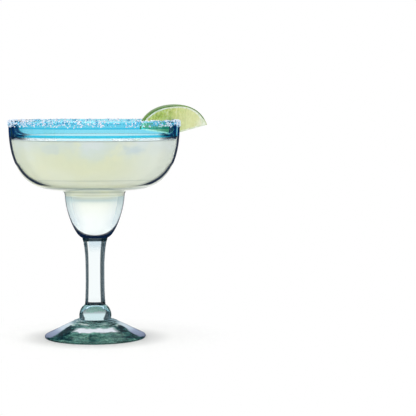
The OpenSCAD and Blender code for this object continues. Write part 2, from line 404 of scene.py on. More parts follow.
@dataclass
class Shader:
    """Adds and links the shader nodes of one node tree.

    Attributes:
        tree: The node tree that is filled.
        material: The material of the tree, where it has one.
        output: The output node of that material.
    """

    tree: bpy.types.NodeTree
    material: bpy.types.Material | None = None
    output: bpy.types.Node | None = None

    @classmethod
    def of_material(cls, name: str) -> "Shader":
        """Starts a new material with an empty tree and an output.

        Args:
            name: Name of the material.

        Returns:
            What fills its tree.
        """
        material = bpy.data.materials.new(name)
        material.use_nodes = True
        tree = material.node_tree
        tree.nodes.clear()
        return cls(tree, material, tree.nodes.new("ShaderNodeOutputMaterial"))

    def feed(self, socket: Socket, value: object) -> None:
        """Links a socket to an input, or sets a plain value, with alpha added to colours.

        Args:
            socket: The input that is fed.
            value: A node's output or a plain value.
        """
        if isinstance(value, bpy.types.NodeSocket):
            self.tree.links.new(value, socket)
        elif isinstance(value, tuple) and socket.type == "RGBA" and len(value) == 3:
            socket.default_value = (*value, 1)
        else:
            socket.default_value = value

    def fill(self, node: bpy.types.Node, values: tuple) -> bpy.types.Node:
        """Feeds a node's first inputs in their order."""
        for socket, value in zip(node.inputs, values):
            self.feed(socket, value)
        return node

    def add(self, kind: str, **inputs: object) -> bpy.types.Node:
        """Adds a node and feeds its inputs, named with underscores for spaces.

        Args:
            kind: The node's type.
            **inputs: Outputs or plain values for its inputs.

        Returns:
            The node.
        """
        node = self.tree.nodes.new(kind)
        for key, value in inputs.items():
            self.feed(node.inputs[key.replace("_", " ")], value)
        return node

    def use(self, effect: "Effect", *values: object) -> list[Socket]:
        """Places a shared effect with its own values and gives what it puts out.

        Args:
            effect: The effect.
            *values: Values of its inputs, in their order.

        Returns:
            The effect's outputs.
        """
        node = self.tree.nodes.new("ShaderNodeGroup")
        node.node_tree = effect.tree()
        return list(self.fill(node, values).outputs)

    def maths(self, operation: str, *values: object) -> Socket:
        """Adds a maths node over sockets and plain numbers.

        Args:
            operation: The node's operation.
            *values: Outputs or plain numbers.

        Returns:
            The result.
        """
        node = self.tree.nodes.new("ShaderNodeMath")
        node.operation = operation
        return self.fill(node, values).outputs[0]

    def vector_maths(self, operation: str, *values: object) -> Socket:
        """Adds a vector maths node and gives its vector, or its number if it makes one.

        Args:
            operation: The node's operation.
            *values: Outputs or plain vectors.

        Returns:
            The result.
        """
        node = self.tree.nodes.new("ShaderNodeVectorMath")
        node.operation = operation
        makes_number = operation in ("DISTANCE", "DOT_PRODUCT", "LENGTH")
        return self.fill(node, values).outputs["Value" if makes_number else "Vector"]

    def product(self, first: object, *others: object) -> Socket:
        """Multiplies values."""
        for other in others:
            first = self.maths("MULTIPLY", first, other)
        return first

    def highest(self, first: object, *others: object) -> Socket:
        """Gives the highest of some values."""
        for other in others:
            first = self.maths("MAXIMUM", first, other)
        return first

    def ramp(self, source: Socket, stops: Stops) -> Socket:
        """Adds a colour ramp.

        Args:
            source: The value that the ramp reads.
            stops: Place of each stop, with a linear colour or one grey level.

        Returns:
            The ramp's colour output.
        """
        node = self.add("ShaderNodeValToRGB", Fac=source)
        elements = node.color_ramp.elements
        while len(elements) < len(stops):
            elements.new(0.5)
        for element, (place, _) in zip(elements, stops):
            element.position = place
        for element, (_, value) in zip(elements, stops):
            element.color = (*value, 1) if isinstance(value, tuple) else (value, value, value, 1)
        return node.outputs["Color"]

    def share(self, source: Socket, low: object, high: object) -> Socket:
        """Maps a range of a value evenly to 0 to 1."""
        return self.add(
            "ShaderNodeMapRange", Value=source, From_Min=low, From_Max=high).outputs["Result"]

    def mask(
        self, source: Socket, low: object, high: object, start: float = 0, end: float = 1
    ) -> Socket:
        """Maps a value smoothly from a range to two levels.

        Args:
            source: The value.
            low: Where the range begins.
            high: Where it ends.
            start: Level at its beginning and before.
            end: Level at its end and after.

        Returns:
            The level.
        """
        node = self.add(
            "ShaderNodeMapRange", Value=source, From_Min=low, From_Max=high, To_Min=start, To_Max=end)
        node.interpolation_type = "SMOOTHSTEP"
        return node.outputs["Result"]

    def between(self, value: Socket, *places: float) -> Socket:
        """Gives 1 between two edges of a value, with the four places that they fade over."""
        return self.use(BETWEEN, value, *places)[0]

    def mix(self, share: object, first: object, second: object) -> Socket:
        """Mixes two colours.

        Args:
            share: Share of the second colour.
            first: The first colour.
            second: The second colour.

        Returns:
            The mixed colour.
        """
        node = self.tree.nodes.new("ShaderNodeMix")
        node.data_type = "RGBA"
        for index, value in ((0, share), (6, first), (7, second)):
            self.feed(node.inputs[index], value)
        return node.outputs[2]

    def blend(self, share: Socket, first: Socket, second: Socket) -> Socket:
        """Mixes two shaders."""
        node = self.tree.nodes.new("ShaderNodeMixShader")
        return self.fill(node, (share, first, second)).outputs[0]

    def noise(self, vector: Socket, scale: object, detail: object = 2, rough: float = 0.5) -> Socket:
        """Adds a noise texture and gives its value."""
        return self.add(
            "ShaderNodeTexNoise", Vector=vector, Scale=scale, Detail=detail, Roughness=rough
        ).outputs["Fac"]

    def sway(self, vector: Socket, scale: float, detail: float = 2, rough: float = 0.5) -> Socket:
        """Adds a noise texture that swings about 0."""
        return self.maths("SUBTRACT", self.noise(vector, scale, detail, rough), 0.5)

    def bump(self, height: Socket, strength: object, distance: object) -> Socket:
        """Adds a bump and gives its normal."""
        return self.add(
            "ShaderNodeBump", Height=height, Strength=strength, Distance=distance).outputs["Normal"]

    def grain(self, place: Socket, scale: float, detail: float, strength: float, depth: float) -> Socket:
        """Gives the normal of a finely uneven surface."""
        return self.use(GRAIN, place, scale, detail, strength, depth)[0]

    def place(self) -> Socket:
        """Gives the place on the object, in metres."""
        return self.add("ShaderNodeTexCoord").outputs["Object"]

    def axis(self, place: Socket, name: str) -> Socket:
        """Gives the X, Y or Z of a place."""
        return self.add("ShaderNodeSeparateXYZ", Vector=place).outputs[name]

    def stretch(self, place: Socket, *scale: float) -> Socket:
        """Stretches a place along x, y and z."""
        return self.vector_maths("MULTIPLY", place, scale)

    def away(self, place: Socket, centre: Vector) -> Socket:
        """Gives the distance of a place from a centre."""
        return self.vector_maths("DISTANCE", place, tuple(centre))

    def spread(self, place: Socket) -> Socket:
        """Gives the distance of a place from the Z axis."""
        return self.vector_maths("LENGTH", self.stretch(place, 1.0, 1.0, 0.0))

    def front(self) -> Socket:
        """Gives 1 on the side of a surface that lies outside, and 0 within it."""
        return self.maths("SUBTRACT", 1.0, self.add("ShaderNodeNewGeometry").outputs["Backfacing"])

    def facing(self) -> Socket:
        """Gives 0 where glass faces the viewer and 1 where it is seen edge-on."""
        return self.add("ShaderNodeLayerWeight", Blend=0.5).outputs["Facing"]

    def skin(self, **inputs: object) -> Socket:
        """Adds a Principled BSDF and gives its shader."""
        return self.add("ShaderNodeBsdfPrincipled", **inputs).outputs["BSDF"]


@dataclass(frozen=True)
class Effect:
    """A node group that several materials place, each with its own values.

    Attributes:
        name: Name of the group.
        inputs: Name and kind of each input.
        outputs: Name and kind of each output.
        recipe: Adds the group's nodes over its inputs and gives its outputs.
    """

    name: str
    inputs: tuple[tuple[str, str], ...]
    outputs: tuple[tuple[str, str], ...]
    recipe: Callable[..., tuple[Socket, ...]]

    def tree(self) -> bpy.types.NodeTree:
        """Gives the group, and builds it where it is used first.

        Returns:
            The group.
        """
        if self.name in bpy.data.node_groups:
            return bpy.data.node_groups[self.name]
        group = bpy.data.node_groups.new(self.name, "ShaderNodeTree")
        for side, sockets in (("INPUT", self.inputs), ("OUTPUT", self.outputs)):
            for name, kind in sockets:
                group.interface.new_socket(name, in_out=side, socket_type=f"NodeSocket{kind}")
        build = Shader(group)
        start = build.add("NodeGroupInput").outputs[:len(self.inputs)]
        build.fill(build.add("NodeGroupOutput"), self.recipe(build, *start))
        return group


def laid_over(
    build: Shader, share: Socket, colour: Socket, under: Socket, painted_glint_shade: Socket
) -> tuple[Socket, Socket]:
    """Lays the colour of the painted dark lines over a painted glint or shade.

    Args:
        build: The group that gets the nodes.
        share: How much the colour covers.
        colour: The colour.
        under: How much the painted glint or shade covers.
        painted_glint_shade: Colour of the painted glint or shade.

    Returns:
        How much both cover together, and their common colour.
    """
    shows = build.product(build.maths("SUBTRACT", 1.0, share), under)
    both = build.maths("ADD", share, shows)
    part = build.maths("DIVIDE", shows, build.highest(both, 0.001))
    return both, build.mix(part, colour, painted_glint_shade)


def two_edges(
    build: Shader, value: Socket, rise: Socket, full: Socket, fall: Socket, end: Socket
) -> tuple[Socket]:
    """Masks the range of a value between two soft edges."""
    return (build.product(build.mask(value, rise, full), build.mask(value, fall, end, 1, 0)),)


def fine_grain(
    build: Shader, place: Socket, scale: Socket, detail: Socket, strength: Socket, depth: Socket
) -> tuple[Socket]:
    """Makes a surface finely uneven."""
    return (build.bump(build.noise(place, scale, detail), strength, depth),)


BETWEEN = Effect(
    "between_two_edges",
    tuple((name, "Float") for name in ("Value", "Rise", "Full", "Fall", "End")),
    (("Mask", "Float"),), two_edges)
GRAIN = Effect(
    "fine_grain",
    (("Place", "Vector"), *((name, "Float") for name in ("Scale", "Detail", "Strength", "Depth"))),
    (("Normal", "Vector"),), fine_grain)
# Lays painted dark lines over painted glints and shades.
LAID_OVER = Effect(
    "painted_line_over_glint_shade",
    (("Share", "Float"), ("Colour", "Color"), ("Veil Share", "Float"), ("Veil Colour", "Color")),
    (("Share", "Float"), ("Colour", "Color")), laid_over)


@dataclass(frozen=True)
class Finish:
    """A material of this object.

    Attributes:
        name: Name of the material.
    """

    name: str

    def nodes(self, build: Shader, place: Socket) -> Socket:
        """Adds the finish's nodes and gives its shader.

        Args:
            build: The tree that gets the nodes.
            place: Place on the object.

        Returns:
            The shader.
        """
        raise NotImplementedError

    def material(self) -> bpy.types.Material:
        """Builds the material.

        Returns:
            The material.
        """
        build = Shader.of_material(self.name)
        build.feed(build.output.inputs["Surface"], self.nodes(build, build.place()))
        return build.material


@dataclass(frozen=True)
class PaintedEdgeLine:
    """Painted dark line in glass where its surface is seen nearly edge-on, in place of the dark
    surroundings that glass shows there.

    Attributes:
        low: Height at which the line ends below.
        high: Height at which the line ends above.
        stops: Strength of the line against how edge-on the surface is seen.
        drift: How far the line moves inwards, against the share of its height.
        soft: Height over which its ends fade.
    """

    low: float
    high: float
    stops: Stops
    drift: Stops = ()
    soft: float = 0.5 * MM

    def strength(self, build: Shader, height: Socket, facing: Socket) -> Socket:
        """Adds the nodes of the line's strength.

        Args:
            build: The tree that gets the nodes.
            height: Height of that place.
            facing: How edge-on the surface is seen.

        Returns:
            The strength from 0 to 1.
        """
        if self.drift:
            moved = build.ramp(build.share(height, self.low, self.high), self.drift)
            facing = build.maths("ADD", facing, moved)
        return build.product(build.ramp(facing, self.stops), build.between(
            height, self.low, self.low + self.soft, self.high, self.high + self.soft))


@dataclass(frozen=True)
class Stripe:
    """Ring of deeper colour on the outer face of coloured glass.

    Attributes:
        low: Height of its lower edge.
        high: Height of its upper edge.
        radius: Radius that only the outer face lies beyond.
        colour: Its colour.
        soft: Height over which its edges fade.
    """

    low: float
    high: float
    radius: float
    colour: Colour
    soft: float = 0.35 * MM

    def tint(self, build: Shader, place: Socket, height: Socket, base: object) -> Socket:
        """Adds the nodes of the stripe to a colour, on the side towards the viewer.

        Args:
            build: The tree that gets the nodes.
            place: Place on the object.
            height: Height of that place.
            base: Colour of the glass.

        Returns:
            The colour of both.
        """
        window = build.between(
            height, self.low - self.soft, self.low, self.high, self.high + self.soft)
        outer = build.maths("GREATER_THAN", build.spread(place), self.radius)
        return build.mix(build.product(outer, build.front(), window), base, self.colour)


@dataclass(frozen=True)
class PaintedGlintShade:
    """Painted soft glint or shade on glass between two heights, in place of what thick glass shows of
    its surroundings.

    Attributes:
        low: Height at which it ends below.
        high: Height at which it ends above.
        colour: Its colour.
        share: Its strength.
        side: How edge-on the surface is seen where it has ended.
        wave: How far its ends wander up and down.
        soft: Height over which its lower end fades.
        top: Height over which its upper end fades.
        rise: How edge-on the surface is seen where it begins and where it is full.
    """

    low: float
    high: float
    colour: Colour
    share: float = 0.6
    side: float = 0.5
    wave: float = 0.0
    soft: float = 0.4 * MM
    top: float = 0.4 * MM
    rise: tuple[float, ...] = ()

    def strength(self, build: Shader, place: Socket, height: Socket, facing: Socket) -> Socket:
        """Adds the nodes of its strength.

        Args:
            build: The tree that gets the nodes.
            place: Place on the object.
            height: Height of that place.
            facing: How edge-on the surface is seen.

        Returns:
            The strength from 0 to 1.
        """
        if self.wave:
            height = build.maths("MULTIPLY_ADD", build.sway(place, 110), self.wave, height)
        seen = build.mask(facing, self.side - 0.1, self.side, self.share, 0)
        if self.rise:
            seen = build.product(seen, build.mask(facing, *self.rise))
        return build.product(seen, build.front(), build.between(
            height, self.low, self.low + self.soft, self.high - self.top, self.high))


@dataclass(frozen=True)
class GlassFinish(Finish):
    """Glass that colours light by depth, with painted dark lines at its edges and painted glints and
    shades.

    Attributes:
        depth: Loss of red, green and blue light per metre of glass.
        lines: The painted dark lines.
        dark: Colour of the painted dark lines.
        stripes: Rings of deeper colour.
        painted_glints_shades: Painted glints and shades under the painted dark lines.
    """

    depth: Colour
    lines: tuple[PaintedEdgeLine, ...] = ()
    dark: Colour = linear(12, 30, 56)
    stripes: tuple[Stripe, ...] = ()
    painted_glints_shades: tuple[PaintedGlintShade, ...] = ()

    def painted(self, build: Shader, tint: object, share: Socket, colour: object) -> Socket:
        """Adds glass and a colour laid over it, for rays that scattered nowhere before.

        Args:
            build: The material's tree.
            tint: Colour of the glass's surface.
            share: How much the colour covers.
            colour: The colour that is laid over the glass.

        Returns:
            The shader.
        """
        density = max(self.depth) * 1.1
        inside = build.add(
            "ShaderNodeVolumeAbsorption",
            Color=tuple(1 - loss / density for loss in self.depth), Density=density)
        build.feed(build.output.inputs["Volume"], inside.outputs["Volume"])
        glass = build.skin(Base_Color=tint, Roughness=0.0, IOR=1.5, Transmission_Weight=1.0)
        edge = build.skin(Base_Color=colour, Roughness=1.0, Specular_IOR_Level=0.0)
        rays = build.add("ShaderNodeLightPath")
        direct = build.maths("LESS_THAN", rays.outputs["Diffuse Depth"], 0.5)
        return build.blend(build.product(share, direct), glass, edge)

    def nodes(self, build: Shader, place: Socket) -> Socket:
        """Adds the finish's nodes and gives its shader.

        Args:
            build: The tree that gets the nodes.
            place: Place on the object.

        Returns:
            The shader.
        """
        height, facing = build.axis(place, "Z"), build.facing()
        tint = CLEAR
        for stripe in self.stripes:
            tint = stripe.tint(build, place, height, tint)
        # Painted dark lines at the edges, laid over painted glints and shades.
        total = build.highest(0.0, *(line.strength(build, height, facing) for line in self.lines))
        colour = self.dark
        for painted_glint_shade in self.painted_glints_shades:
            shows = painted_glint_shade.strength(build, place, height, facing)
            total, colour = build.use(LAID_OVER, total, colour, shows, painted_glint_shade.colour)
        return self.painted(build, tint, total, colour)


@dataclass(frozen=True)
class PaintedFootGlass(GlassFinish):
    """Thick green glass with painted light over it: painted pale glints on its flanks, a painted
    highlight band under its folds, painted teal and dark refraction of the surroundings and painted dark
    edges.

    Attributes:
        height: Height of the foot.
        seat: Radius of the seam above it, inside which it stays clear.
        folds: Heights between which the painted colours of the folds take over from those of the slope.
        band: Heights between which the painted highlight band rises and falls.
    """

    height: float = 12.6 * MM
    seat: float = 12.2 * MM
    folds: Point = (10.4 * MM, 11.2 * MM)
    band: tuple[float, ...] = (7.0 * MM, 7.8 * MM, 9.4 * MM, 10.6 * MM)

    def painted_refraction(self, build: Shader, place: Socket, facing: Socket) -> tuple[Socket, Socket]:
        """Paints the lower slope with mottled refraction of the surroundings and painted shade, and the
        folds with painted dark and light glints.

        Args:
            build: The tree that gets the nodes.
            place: Place on the object.
            facing: How edge-on the surface is seen.

        Returns:
            Painted colours of the slope and of the folds.
        """
        shaded = build.mask(facing, 0.45, 0.60, 0.08, -0.09)
        wide = build.noise(build.stretch(place, 1.0, 1.0, 3.4), 150, 5, 0.72)
        slope = build.ramp(build.maths("ADD", wide, shaded), (
            (0.32, linear(8, 32, 42)), (0.44, linear(22, 62, 68)), (0.54, linear(58, 106, 102)),
            (0.66, linear(104, 152, 140)), (0.80, linear(160, 196, 184))))
        low = build.noise(build.stretch(place, 1.0, 1.0, 9.0), 62, 3, 0.6)
        folds = build.ramp(low, (
            (0.38, linear(14, 30, 34)), (0.45, linear(56, 88, 90)), (0.53, linear(110, 148, 146)),
            (0.64, linear(214, 228, 226))))
        return slope, folds

    def nodes(self, build: Shader, place: Socket) -> Socket:
        """Adds the finish's nodes and gives its shader.

        Args:
            build: The tree that gets the nodes.
            place: Place on the object.

        Returns:
            The shader.
        """
        height, facing = build.axis(place, "Z"), build.facing()
        slope, folds = self.painted_refraction(build, place, facing)
        ripple = build.sway(place, 190)
        ragged = build.maths("MULTIPLY_ADD", ripple, 3.2 * MM, height)
        # Painted refraction of the surroundings on the slope, giving way to painted glints on the folds.
        colour = build.mix(build.mask(ragged, *self.folds), slope, folds)
        # Painted highlight: a pale band under the folds, in place of a soft light's reflection.
        even = build.maths("MULTIPLY_ADD", ripple, 2.4 * MM, height)
        band = build.product(
            build.between(even, *self.band), build.between(facing, 0.26, 0.36, 0.49, 0.58))
        colour = build.mix(band, colour, linear(226, 229, 240))
        # Painted glints on the flanks, where the foot is seen edge-on: pale above, dark at the bottom.
        flank = build.ramp(build.share(height, 0.0, self.height), (
            (0.08, linear(44, 58, 74)), (0.22, linear(126, 138, 166)), (0.48, linear(152, 166, 194)),
            (0.62, linear(194, 210, 226)), (0.88, linear(204, 220, 230)), (1.0, linear(126, 154, 164))))
        aside = build.mask(facing, 0.655, 0.70)
        colour = build.mix(aside, colour, flank)
        # Painted dark edge where the foot is seen almost edge-on.
        colour = build.mix(build.mask(facing, 0.90, 0.95), colour, linear(60, 78, 100))
        # Painted shade along the lowest edge of the foot.
        seam = build.mask(height, 0.3 * MM, 1.3 * MM, 0.8, 0)
        colour = build.mix(seam, colour, linear(14, 44, 48))
        # How much the painted light covers the glass.
        share = build.highest(
            build.mask(facing, 0.2, 0.3, 0.3, 0.6), build.mask(facing, 0.48, 0.56, 0, 0.88),
            build.product(band, 0.92), build.product(aside, 0.85))
        open_side = build.maths("GREATER_THAN", build.spread(place), self.seat)
        return self.painted(build, CLEAR, build.product(share, open_side, build.front()), colour)


@dataclass(frozen=True)
class DrinkFinish(Finish):
    """Cloudy pale drink, greyer round the ice and whiter in the small cup.

    Attributes:
        cold: Middles of the pale grey places beside the ice, and how strong they are.
        surface: Height of the drink's surface.
        neck: Height of the small cup's neck.
        floor: Height of the wide bowl's floor outside.
        flat: How flat the grey places are.
    """

    cold: tuple[tuple[Vector, float], ...]
    surface: float
    neck: float
    floor: float
    flat: float = 2.4

    def wide(self, build: Shader, place: Socket, height: Socket) -> Socket:
        """Colours the drink in the wide bowl.

        Args:
            build: The tree that gets the nodes.
            place: Place on the object.
            height: Height of that place.

        Returns:
            The colour.
        """
        clouds = build.sway(place, 30, 4, 0.6)
        tufts = build.sway(build.stretch(place, 1.0, 1.0, 2.0), 105, 4, 0.65)
        warped = build.maths("MULTIPLY_ADD", clouds, 34 * MM, height)
        warped = build.maths("MULTIPLY_ADD", tufts, 12 * MM, warped)
        body = build.ramp(build.share(warped, self.floor - 4 * MM, self.surface), (
            (0.0, under_glass(208, 214, 196)), (0.18, under_glass(212, 218, 194)),
            (0.32, under_glass(220, 223, 190)), (0.52, under_glass(218, 221, 184)),
            (0.68, under_glass(214, 219, 186)), (0.80, under_glass(208, 217, 198)),
            (0.95, under_glass(208, 219, 212)), (1.0, under_glass(214, 222, 219))))
        yellow = build.mask(build.noise(place, 44, 4, 0.65), 0.48, 0.66, 0, 0.7)
        body = build.mix(yellow, body, under_glass(226, 227, 184))
        cool = build.mask(build.axis(place, "X"), 8 * MM, 50 * MM, 0, 0.45)
        body = build.mix(cool, body, under_glass(220, 227, 232))
        flat = build.stretch(place, 1.0, 1.0, self.flat)
        for middle, strong in self.cold:
            away = build.away(flat, Vector((middle.x, middle.y, middle.z * self.flat)))
            ragged = build.maths("MULTIPLY_ADD", clouds, 30 * MM, away)
            ragged = build.maths("MULTIPLY_ADD", tufts, 28 * MM, ragged)
            near = build.mask(ragged, 1 * MM, 15 * MM * strong, strong, 0)
            body = build.mix(near, body, under_glass(188, 204, 210))
        return body

    def cup(self, build: Shader, height: Socket) -> Socket:
        """Colours the drink in the small cup."""
        return build.ramp(build.share(height, self.neck - 34 * MM, self.neck), (
            (0.0, under_glass(247, 249, 246, 0.6)), (0.45, under_glass(250, 251, 245, 0.6)),
            (0.78, under_glass(248, 249, 238, 0.6)), (0.86, under_glass(236, 240, 230, 0.6)),
            (0.91, under_glass(202, 220, 218)), (0.96, under_glass(212, 222, 208)),
            (1.0, under_glass(230, 233, 212, 0.6))))

    def nodes(self, build: Shader, place: Socket) -> Socket:
        """Adds the finish's nodes and gives its shader.

        Args:
            build: The tree that gets the nodes.
            place: Place on the object.

        Returns:
            The shader.
        """
        height = build.axis(place, "Z")
        in_bowl = build.mask(height, self.neck - 0.2 * MM, self.neck + 0.6 * MM)
        body = build.mix(in_bowl, self.cup(build, height), self.wide(build, place, height))
        step = build.ramp(build.share(height, self.neck, self.floor + 2 * MM), (
            (0.0, 0.0), (0.12, 0.0), (0.3, 0.8), (0.55, 0.8), (0.64, 0.0)))
        body = build.mix(step, body, under_glass(236, 238, 218, 0.6))
        for line, half, share in (
            (self.floor + 5.0 * MM, 0.5 * MM, 0.8), (self.floor + 10.1 * MM, 0.3 * MM, 0.4),
            (self.surface - 0.5 * MM, 0.3 * MM, 0.8),
        ):
            off = build.maths("ABSOLUTE", build.maths("SUBTRACT", height, line))
            near = build.mask(off, half * 0.6, half * 1.8, share, 0)
            body = build.mix(near, body, under_glass(118, 134, 124))
        top = build.mask(height, self.surface - 0.45 * MM, self.surface - 0.3 * MM)
        body = build.mix(top, body, linear(208, 214, 214))
        return build.skin(
            Base_Color=body, Roughness=0.06, IOR=1.33,
            Normal=build.grain(place, 90, 2, 0.05, 0.5 * MM))


@dataclass(frozen=True)
class SaltFinish(Finish):
    """Coarse salt that lets a little light through."""

    def nodes(self, build: Shader, place: Socket) -> Socket:
        """Adds the finish's nodes and gives its shader.

        Args:
            build: The tree that gets the nodes.
            place: Place on the object.

        Returns:
            The shader.
        """
        colour = build.ramp(build.noise(place, 900), (
            (0.3, linear(188, 208, 232)), (0.6, linear(244, 247, 254))))
        return build.skin(
            Base_Color=colour, Roughness=0.4, IOR=1.45,
            Normal=build.grain(place, 2600, 2, 0.3, 0.2 * MM))


@dataclass(frozen=True)
class IceFinish(Finish):
    """Clear ice with a cloudy, cracked middle.

    Attributes:
        centre: Middle of the cube.
        size: Width of the cube.
    """

    centre: Vector
    size: float

    def nodes(self, build: Shader, place: Socket) -> Socket:
        """Adds the finish's nodes and gives its shader.

        Args:
            build: The tree that gets the nodes.
            place: Place on the object.

        Returns:
            The shader.
        """
        clear = build.skin(
            Base_Color=linear(240, 248, 252), Roughness=0.06, IOR=1.31, Transmission_Weight=0.9,
            Normal=build.grain(place, 140, 3, 0.35, 1 * MM))
        cloudy = build.skin(Base_Color=linear(236, 244, 248), Roughness=0.35)
        cracks = build.noise(place, 180, 4, 0.7)
        ragged = build.maths("MULTIPLY_ADD", cracks, self.size, build.away(place, self.centre))
        share = build.mask(ragged, self.size * 0.85, self.size * 1.15, 0.6, 0.1)
        return build.blend(share, clear, cloudy)


@dataclass(frozen=True)
class ZestFinish(Finish):
    """Waxy green peel with oil dimples and a pale tip.

    Attributes:
        tip: Place of the tip.
    """

    tip: Vector

    def nodes(self, build: Shader, place: Socket) -> Socket:
        """Adds the finish's nodes and gives its shader.

        Args:
            build: The tree that gets the nodes.
            place: Place on the object.

        Returns:
            The shader.
        """
        colour = build.ramp(build.noise(place, 70, 4, 0.6), (
            (0.25, linear(60, 108, 28)), (0.5, linear(88, 132, 42)), (0.75, linear(128, 164, 66))))
        pale = build.mask(build.away(place, self.tip), 3 * MM, 8 * MM, 0.9, 0)
        colour = build.mix(pale, colour, linear(210, 216, 176))
        pores = build.add("ShaderNodeTexVoronoi", Vector=place, Scale=900.0).outputs["Distance"]
        return build.skin(
            Base_Color=colour, Roughness=0.34, Normal=build.bump(pores, 0.35, 0.2 * MM))


@dataclass(frozen=True)
class PithFinish(Finish):
    """Soft white pith and membrane with a few brown specks."""

    def nodes(self, build: Shader, place: Socket) -> Socket:
        """Adds the finish's nodes and gives its shader.

        Args:
            build: The tree that gets the nodes.
            place: Place on the object.

        Returns:
            The shader.
        """
        colour = build.ramp(build.noise(place, 420, 3, 0.6), (
            (0.35, linear(206, 220, 180)), (0.6, linear(236, 242, 224))))
        specks = build.mask(build.noise(place, 950, 0), 0.74, 0.78, 0, 0.5)
        colour = build.mix(specks, colour, linear(178, 150, 96))
        return build.skin(
            Base_Color=colour, Roughness=0.55, Normal=build.grain(place, 1500, 2, 0.3, 0.2 * MM))


@dataclass(frozen=True)
class FleshFinish(Finish):
    """Wet flesh whose juice cells run from the core to the rind.

    Attributes:
        tip: Place of the tip, where the flesh is pale.
        rim: Radius and height of the rim, inside which the flesh is a darker, bluer green.
    """

    tip: Vector
    rim: Point

    def nodes(self, build: Shader, place: Socket) -> Socket:
        """Adds the finish's nodes and gives its shader.

        Args:
            build: The tree that gets the nodes.
            place: Place on the object.

        Returns:
            The shader.
        """
        along_cells = build.add("ShaderNodeTexCoord").outputs["UV"]
        cells = build.noise(build.stretch(along_cells, 34.0, 3.2, 1.0), 1.0, 3, 0.6)
        colour = build.ramp(cells, (
            (0.30, linear(150, 172, 62)), (0.44, linear(184, 200, 84)),
            (0.56, linear(208, 218, 118)), (0.68, linear(234, 238, 178))))
        threads = build.noise(build.stretch(along_cells, 90.0, 9.0, 1.0), 1.0)
        colour = build.mix(build.mask(threads, 0.52, 0.74, 0, 0.6), colour, linear(230, 234, 190))
        away = build.away(place, self.tip)
        colour = build.mix(build.mask(away, 14 * MM, 44 * MM, 0.75, 0), colour, linear(226, 229, 176))
        colour = build.mix(build.mask(away, 3 * MM, 13 * MM, 0.95, 0), colour, linear(234, 236, 214))
        radius, height = self.rim
        # Mixes the flesh towards a darker, bluer green inside the rim.
        dark_inside_rim = build.product(
            build.mask(build.spread(place), radius - 2 * MM, radius, 0.7, 0),
            build.mask(build.axis(place, "Z"), height - 3 * MM, height, 1, 0))
        colour = build.mix(dark_inside_rim, colour, linear(72, 146, 118))
        return build.skin(
            Base_Color=colour, Roughness=0.25, Coat_Weight=0.3,
            Normal=build.bump(cells, 0.5, 0.6 * MM))


@dataclass
class BowlShape:
    """The outline that the bowl, the rim band, the salt and the drink share.

    Attributes:
        wall: Thickness of the wall at the lip.
        cup_wall: Thickness of the wall at the small cup's neck.
        cup_floor: Thickness of the glass under the small cup.
        floor: Thickness of the wide bowl's floor.
        cup_radius: Outer radius of the small cup at its neck.
        cup_height: Height of the small cup below its neck.
        neck_width: Width of the step from the small cup to the wide bowl.
        neck_height: Height of that step.
        cup_power: Shape number of the small cup.
        bowl_power: Shape number of the wide bowl.
        waver_depth: How far the wall wavers inwards.
    """

    wall: float = 2.6 * MM
    cup_wall: float = 4.9 * MM
    cup_floor: float = 2.4 * MM
    floor: float = 3.8 * MM
    cup_radius: float = 23.0 * MM
    cup_height: float = 32.8 * MM
    neck_width: float = 5.3 * MM
    neck_height: float = 4.4 * MM
    cup_power: float = 1.55
    bowl_power: float = 2.48
    waver_depth: float = 0.16 * MM

    def __post_init__(self) -> None:
        """Takes the heights and the radius from the frame."""
        low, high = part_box("bowl")
        self.base = low[2]
        self.band_height = high[2]
        self.neck = self.base + self.cup_height
        self.floor_height = self.neck + self.neck_height
        self.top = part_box("rim_band")[1][2]
        self.lip = self.top - self.wall / 2
        self.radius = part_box("rim_band")[1][1]
        self.middle = self.radius - self.wall / 2
        self.root = self.cup_radius + self.neck_width
        self.stem_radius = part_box("stem")[1][0]
        self.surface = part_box("drink")[1][2]

    def outer_wall(self, height: float) -> list[Point]:
        """Gives the outer curve of the wide bowl from a height down to its floor."""
        return quarter(
            (self.root, self.lip), self.radius - self.root, self.lip - self.floor_height,
            self.bowl_power, self.lip - height)

    def inner_wall(self, height: float, grow: float = 0) -> list[Point]:
        """Gives the inner curve of the wide bowl from a height down, moved outwards by grow."""
        return quarter(
            (self.root, self.lip), self.radius - self.wall + grow - self.root,
            self.lip - self.floor_height - self.floor + grow, self.bowl_power,
            self.lip - height)

    def outside(self, height: float) -> list[Point]:
        """Gives the whole outer wall from a height down to the stem.

        Args:
            height: Height at which the wall begins.

        Returns:
            The points in order.
        """
        step = step_curve(self.root, self.neck, self.neck_width, self.neck_height)
        cup = quarter(
            (self.stem_radius, self.neck), self.cup_radius - self.stem_radius,
            self.cup_height, self.cup_power, 0)
        return self.outer_wall(height) + step[1:] + cup[1:]

    def inside(self, height: float, grow: float = 0) -> list[Point]:
        """Gives the whole inner wall from a height down to the cup's floor.

        Args:
            height: Height at which the wall begins.
            grow: How far it is moved outwards.

        Returns:
            The points in order.
        """
        cup_radius = self.cup_radius - self.cup_wall + grow
        step = step_curve(
            self.root, self.neck, self.root - cup_radius, self.neck_height + self.floor - grow)
        cup = quarter((0, self.neck), cup_radius, self.cup_height - self.cup_floor + grow, 2, 0)
        return self.inner_wall(height, grow) + step[1:] + cup[1:]

    def waver(self, place: Vector) -> Vector:
        """Moves a place a little inwards, as a hand-blown wall wavers.

        Args:
            place: Place on the wall.

        Returns:
            The moved place.
        """
        depth = self.waver_depth * smooth(place.z, self.base, self.base + 12 * MM)
        out = Vector((place.x, place.y, 0))
        if out.length <= 2 * MM:
            return place
        return place - out.normalized() * swell(place, 32 * MM) * depth


